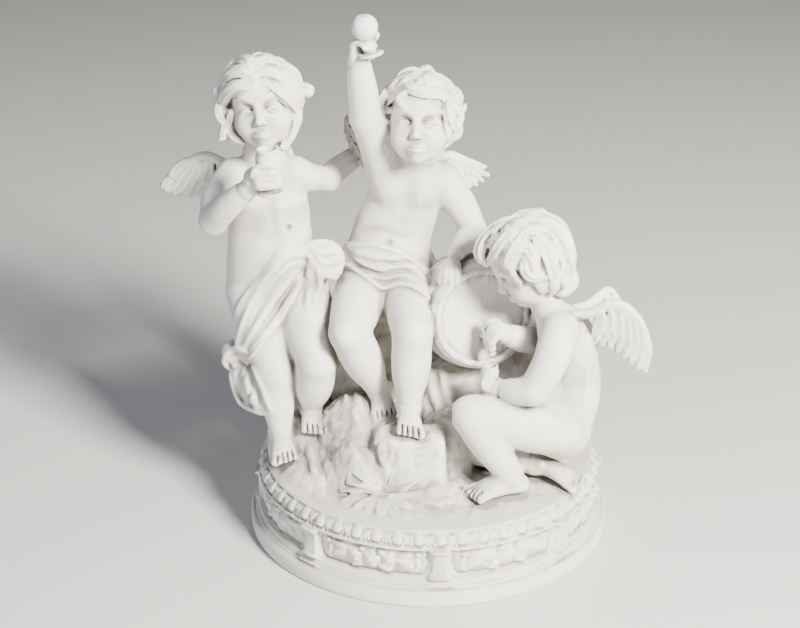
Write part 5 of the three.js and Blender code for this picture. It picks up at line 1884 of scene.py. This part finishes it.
def finish_skin(mesh, clay):
    """Smooth normals from the field, and how hollow each place is, from 0 to 1."""
    points = np.empty(3 * len(mesh.vertices), np.float32)
    mesh.vertices.foreach_get("co", points)
    points = points.reshape(-1, 3) / MM
    steps = SLOPE_STEP * np.eye(3)
    slope = np.stack([sampled(clay, points + step) - sampled(clay, points - step) for step in steps], axis=1)
    size = np.linalg.norm(slope, axis=1, keepdims=True)
    rough = np.empty(3 * len(mesh.vertices), np.float32)
    mesh.vertices.foreach_get("normal", rough)
    rough = rough.reshape(-1, 3)
    normal = np.where(size > LEAST_SLOPE, slope / np.maximum(size, 1e-6), rough)
    agreement = (normal * rough).sum(axis=1, keepdims=True)
    normal = np.where(agreement > LEAST_AGREEMENT, normal, rough)
    # how hollow each place is; the material paints shade into the hollows from it
    out = sampled(clay, points + HOLLOW_REACH * normal)
    hollow = np.clip((HOLLOW_REACH - out) / HOLLOW_REACH, 0, 1).astype(np.float32)
    mesh.attributes.new("hollow", "FLOAT", "POINT").data.foreach_set("value", hollow)
    mesh.polygons.foreach_set("use_smooth", np.ones(len(mesh.polygons), bool))
    mesh.normals_split_custom_set_from_vertices(normal)


def linear(hex_colour):
    """A linear colour from an sRGB hex value."""
    parts = [int(hex_colour[i : i + 2], 16) / 255 for i in (1, 3, 5)]
    return tuple(p / 12.92 if p <= 0.04045 else ((p + 0.055) / 1.055) ** 2.4 for p in parts) + (1.0,)


def node(tree, kind, settings=None, inputs=None):
    """Adds a node with its settings. An input is a value, or a node's output to link from."""
    made = tree.nodes.new(kind)
    for name, value in (settings or {}).items():
        setattr(made, name, value)
    for name, value in (inputs or {}).items():
        if isinstance(value, bpy.types.NodeSocket):
            tree.links.new(value, made.inputs[name])
        else:
            made.inputs[name].default_value = value
    return made


BISQUE_WHITE = "#dcdad4"
SHADE_AND_DIRT_COLOUR = "#8e8a81"  # painted shade in the hollows, with some dust; also the colour of the darker low ground and of the handling clouds
BISQUE_GRAIN_MM = 0.7  # real grain is under 0.1 mm; drawn as coarse as it needs to show
GRAIN_DEPTH_MM = 0.2
CLOUDS_TO_A_METRE = 28.0  # the faint clouds that handling leaves
CLOUD_SHADE = 0.14
# how far the hollows are painted towards the shade colour: painted shade, with some dust
HOLLOW_SHADE = 0.9
GROUND_DARKENING_TOP = 0.13  # metres up, where the painted darkening of the ground thins out: partly dust, partly painted shade
# how dark the low, upward-facing ground is painted: partly dust, partly painted shade
GROUND_DARKENING = 0.45
MATT = 0.62  # roughness of bare porcelain
PORCELAIN_IOR = 1.5
SOFT_DEPTH = 0.12  # the share of light that enters it and comes out again
LIGHT_REACH = (0.0014, 0.0012, 0.001)  # metres that red, green and blue light go through it


def bisque_porcelain():
    """Unglazed porcelain, fired once and left bare: a matt, fine-grained white with a soft depth. Its hollows
    are painted darker as shade, with some dust, and the low ground is painted darker where it faces up,
    partly as dust and partly as shade."""
    material = bpy.data.materials.new("bisque_porcelain")
    material.use_nodes = True
    tree = material.node_tree
    tree.nodes.clear()
    geometry = node(tree, "ShaderNodeNewGeometry")
    place = geometry.outputs["Position"]
    height = node(tree, "ShaderNodeSeparateXYZ", inputs={"Vector": place})
    facing = node(tree, "ShaderNodeSeparateXYZ", inputs={"Vector": geometry.outputs["Normal"]})
    hollow = node(tree, "ShaderNodeAttribute", {"attribute_name": "hollow"})
    clouds = node(
        tree, "ShaderNodeTexNoise", inputs={"Vector": place, "Scale": CLOUDS_TO_A_METRE, "Detail": 4.0}
    )
    # painted shade: the hollows are darkened towards the shade colour, with some dust
    painted_hollow_shade = node(
        tree,
        "ShaderNodeMapRange",
        inputs={"Value": hollow.outputs["Fac"], "From Min": 0.08, "From Max": 0.7, "To Max": HOLLOW_SHADE},
    )
    cloudy = node(
        tree,
        "ShaderNodeMapRange",
        inputs={"Value": clouds.outputs["Fac"], "From Min": 0.35, "From Max": 0.75, "To Max": CLOUD_SHADE},
    )
    # the ground is painted darker low down where it faces up: partly dust, partly painted shade
    low = node(
        tree,
        "ShaderNodeMapRange",
        inputs={
            "Value": height.outputs["Z"],
            "From Min": GROUND_DARKENING_TOP,
            "From Max": GROUND_LEVEL * MM,
            "To Max": GROUND_DARKENING,
        },
    )
    low_ground_shade_and_dust = node(
        tree,
        "ShaderNodeMath",
        {"operation": "MULTIPLY", "use_clamp": True},
        {0: low.outputs["Result"], 1: facing.outputs["Z"]},
    )
    clouds_and_low_ground = node(
        tree,
        "ShaderNodeMath",
        {"operation": "ADD"},
        {0: cloudy.outputs["Result"], 1: low_ground_shade_and_dust.outputs["Value"]},
    )
    # the painted shade of the hollows, the darker low ground and the handling clouds together move the colour
    # from white towards the shade colour
    marks_and_painted_shade = node(
        tree,
        "ShaderNodeMath",
        {"operation": "ADD", "use_clamp": True},
        {0: painted_hollow_shade.outputs["Result"], 1: clouds_and_low_ground.outputs["Value"]},
    )
    colour = node(
        tree,
        "ShaderNodeMix",
        {"data_type": "RGBA"},
        {"Factor": marks_and_painted_shade.outputs["Value"], 6: linear(BISQUE_WHITE), 7: linear(SHADE_AND_DIRT_COLOUR)},
    )
    grain = node(
        tree,
        "ShaderNodeTexNoise",
        inputs={"Vector": place, "Scale": 1 / (BISQUE_GRAIN_MM * MM), "Detail": 3.0},
    )
    bump = node(
        tree,
        "ShaderNodeBump",
        inputs={"Height": grain.outputs["Fac"], "Strength": 0.12, "Distance": GRAIN_DEPTH_MM * MM},
    )
    shader = node(
        tree,
        "ShaderNodeBsdfPrincipled",
        inputs={
            "Base Color": colour.outputs[2],
            "Normal": bump.outputs["Normal"],
            "Roughness": MATT,
            "IOR": PORCELAIN_IOR,
            "Subsurface Weight": SOFT_DEPTH,
            "Subsurface Radius": LIGHT_REACH,
            "Subsurface Scale": 1.0,
        },
    )
    node(tree, "ShaderNodeOutputMaterial", inputs={"Surface": shader.outputs["BSDF"]})
    return material


SENSOR = 36.0  # mm


def camera():
    """Stands where the photograph was taken."""
    data = bpy.data.cameras.new("camera")
    data.sensor_width = SENSOR
    data.lens = FOCAL_PIXELS * SENSOR / IMAGE_WIDTH
    data.clip_start = 0.01
    made = bpy.data.objects.new("camera", data)
    made.location = CAMERA_AT
    made.rotation_euler = Vector(VIEW_AHEAD).to_track_quat("-Z", "Y").to_euler()
    bpy.context.scene.collection.objects.link(made)
    bpy.context.scene.camera = made


MIDDLE = (0, 0, 0.2)
# Each lamp's name, place and side in metres, its watts and its colour
SOFTBOXES = (
    ("key", (0.82, -1.08, 1.05), 0.4, 150, "#fffaf2"),
    ("fill", (-1.2, -1.0, 0.8), 0.7, 9, "#dfe6ff"),
    ("top", (-0.2, 0.4, 1.6), 0.6, 5, "#ffffff"),
)
ROOM_LIGHT = "#dfe5f4"
ROOM_STRENGTH = 0.09
PAPER = "#c2c1be"
PAPER_REACH = 4.0  # metres to each side
PAPER_GAP = 0.0002  # under the plinth


def softbox(name, at, side, watts, colour):
    data = bpy.data.lights.new(name, "AREA")
    data.size = side
    data.energy = watts
    data.color = linear(colour)[:3]
    made = bpy.data.objects.new(name, data)
    made.location = at
    made.rotation_euler = (Vector(MIDDLE) - Vector(at)).to_track_quat("-Z", "Y").to_euler()
    bpy.context.scene.collection.objects.link(made)


def room_light():
    world = bpy.data.worlds.new("studio")
    world.use_nodes = True
    background = world.node_tree.nodes["Background"]
    background.inputs["Color"].default_value = linear(ROOM_LIGHT)
    background.inputs["Strength"].default_value = ROOM_STRENGTH
    bpy.context.scene.world = world


def paper_floor():
    mesh = bpy.data.meshes.new("floor")
    far = PAPER_REACH
    mesh.from_pydata([(-far, -far, 0), (far, -far, 0), (far, far, 0), (-far, far, 0)], [], [(0, 1, 2, 3)])
    floor = bpy.data.objects.new("floor", mesh)
    bpy.context.scene.collection.objects.link(floor)
    floor.location = (0, 0, -PAPER_GAP)
    material = bpy.data.materials.new("matt_paper")
    material.use_nodes = True
    paper = material.node_tree.nodes["Principled BSDF"]
    paper.inputs["Base Color"].default_value = linear(PAPER)
    paper.inputs["Roughness"].default_value = 0.9
    mesh.materials.append(material)


clay = carved_group()
skin = skin_mesh(clay, "figure_group_skin")
skin = thinned(skin, SKIN_TRIANGLES, "figure_group_carved")
in_one_part(skin)
finish_skin(skin, clay)
skin.materials.append(bisque_porcelain())
piece = bpy.data.objects.new("figure_group_carved", skin)
bpy.context.scene.collection.objects.link(piece)
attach(piece, "root")
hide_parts("figure_group")

camera()
room_light()
for box in SOFTBOXES:
    softbox(*box)
paper_floor()
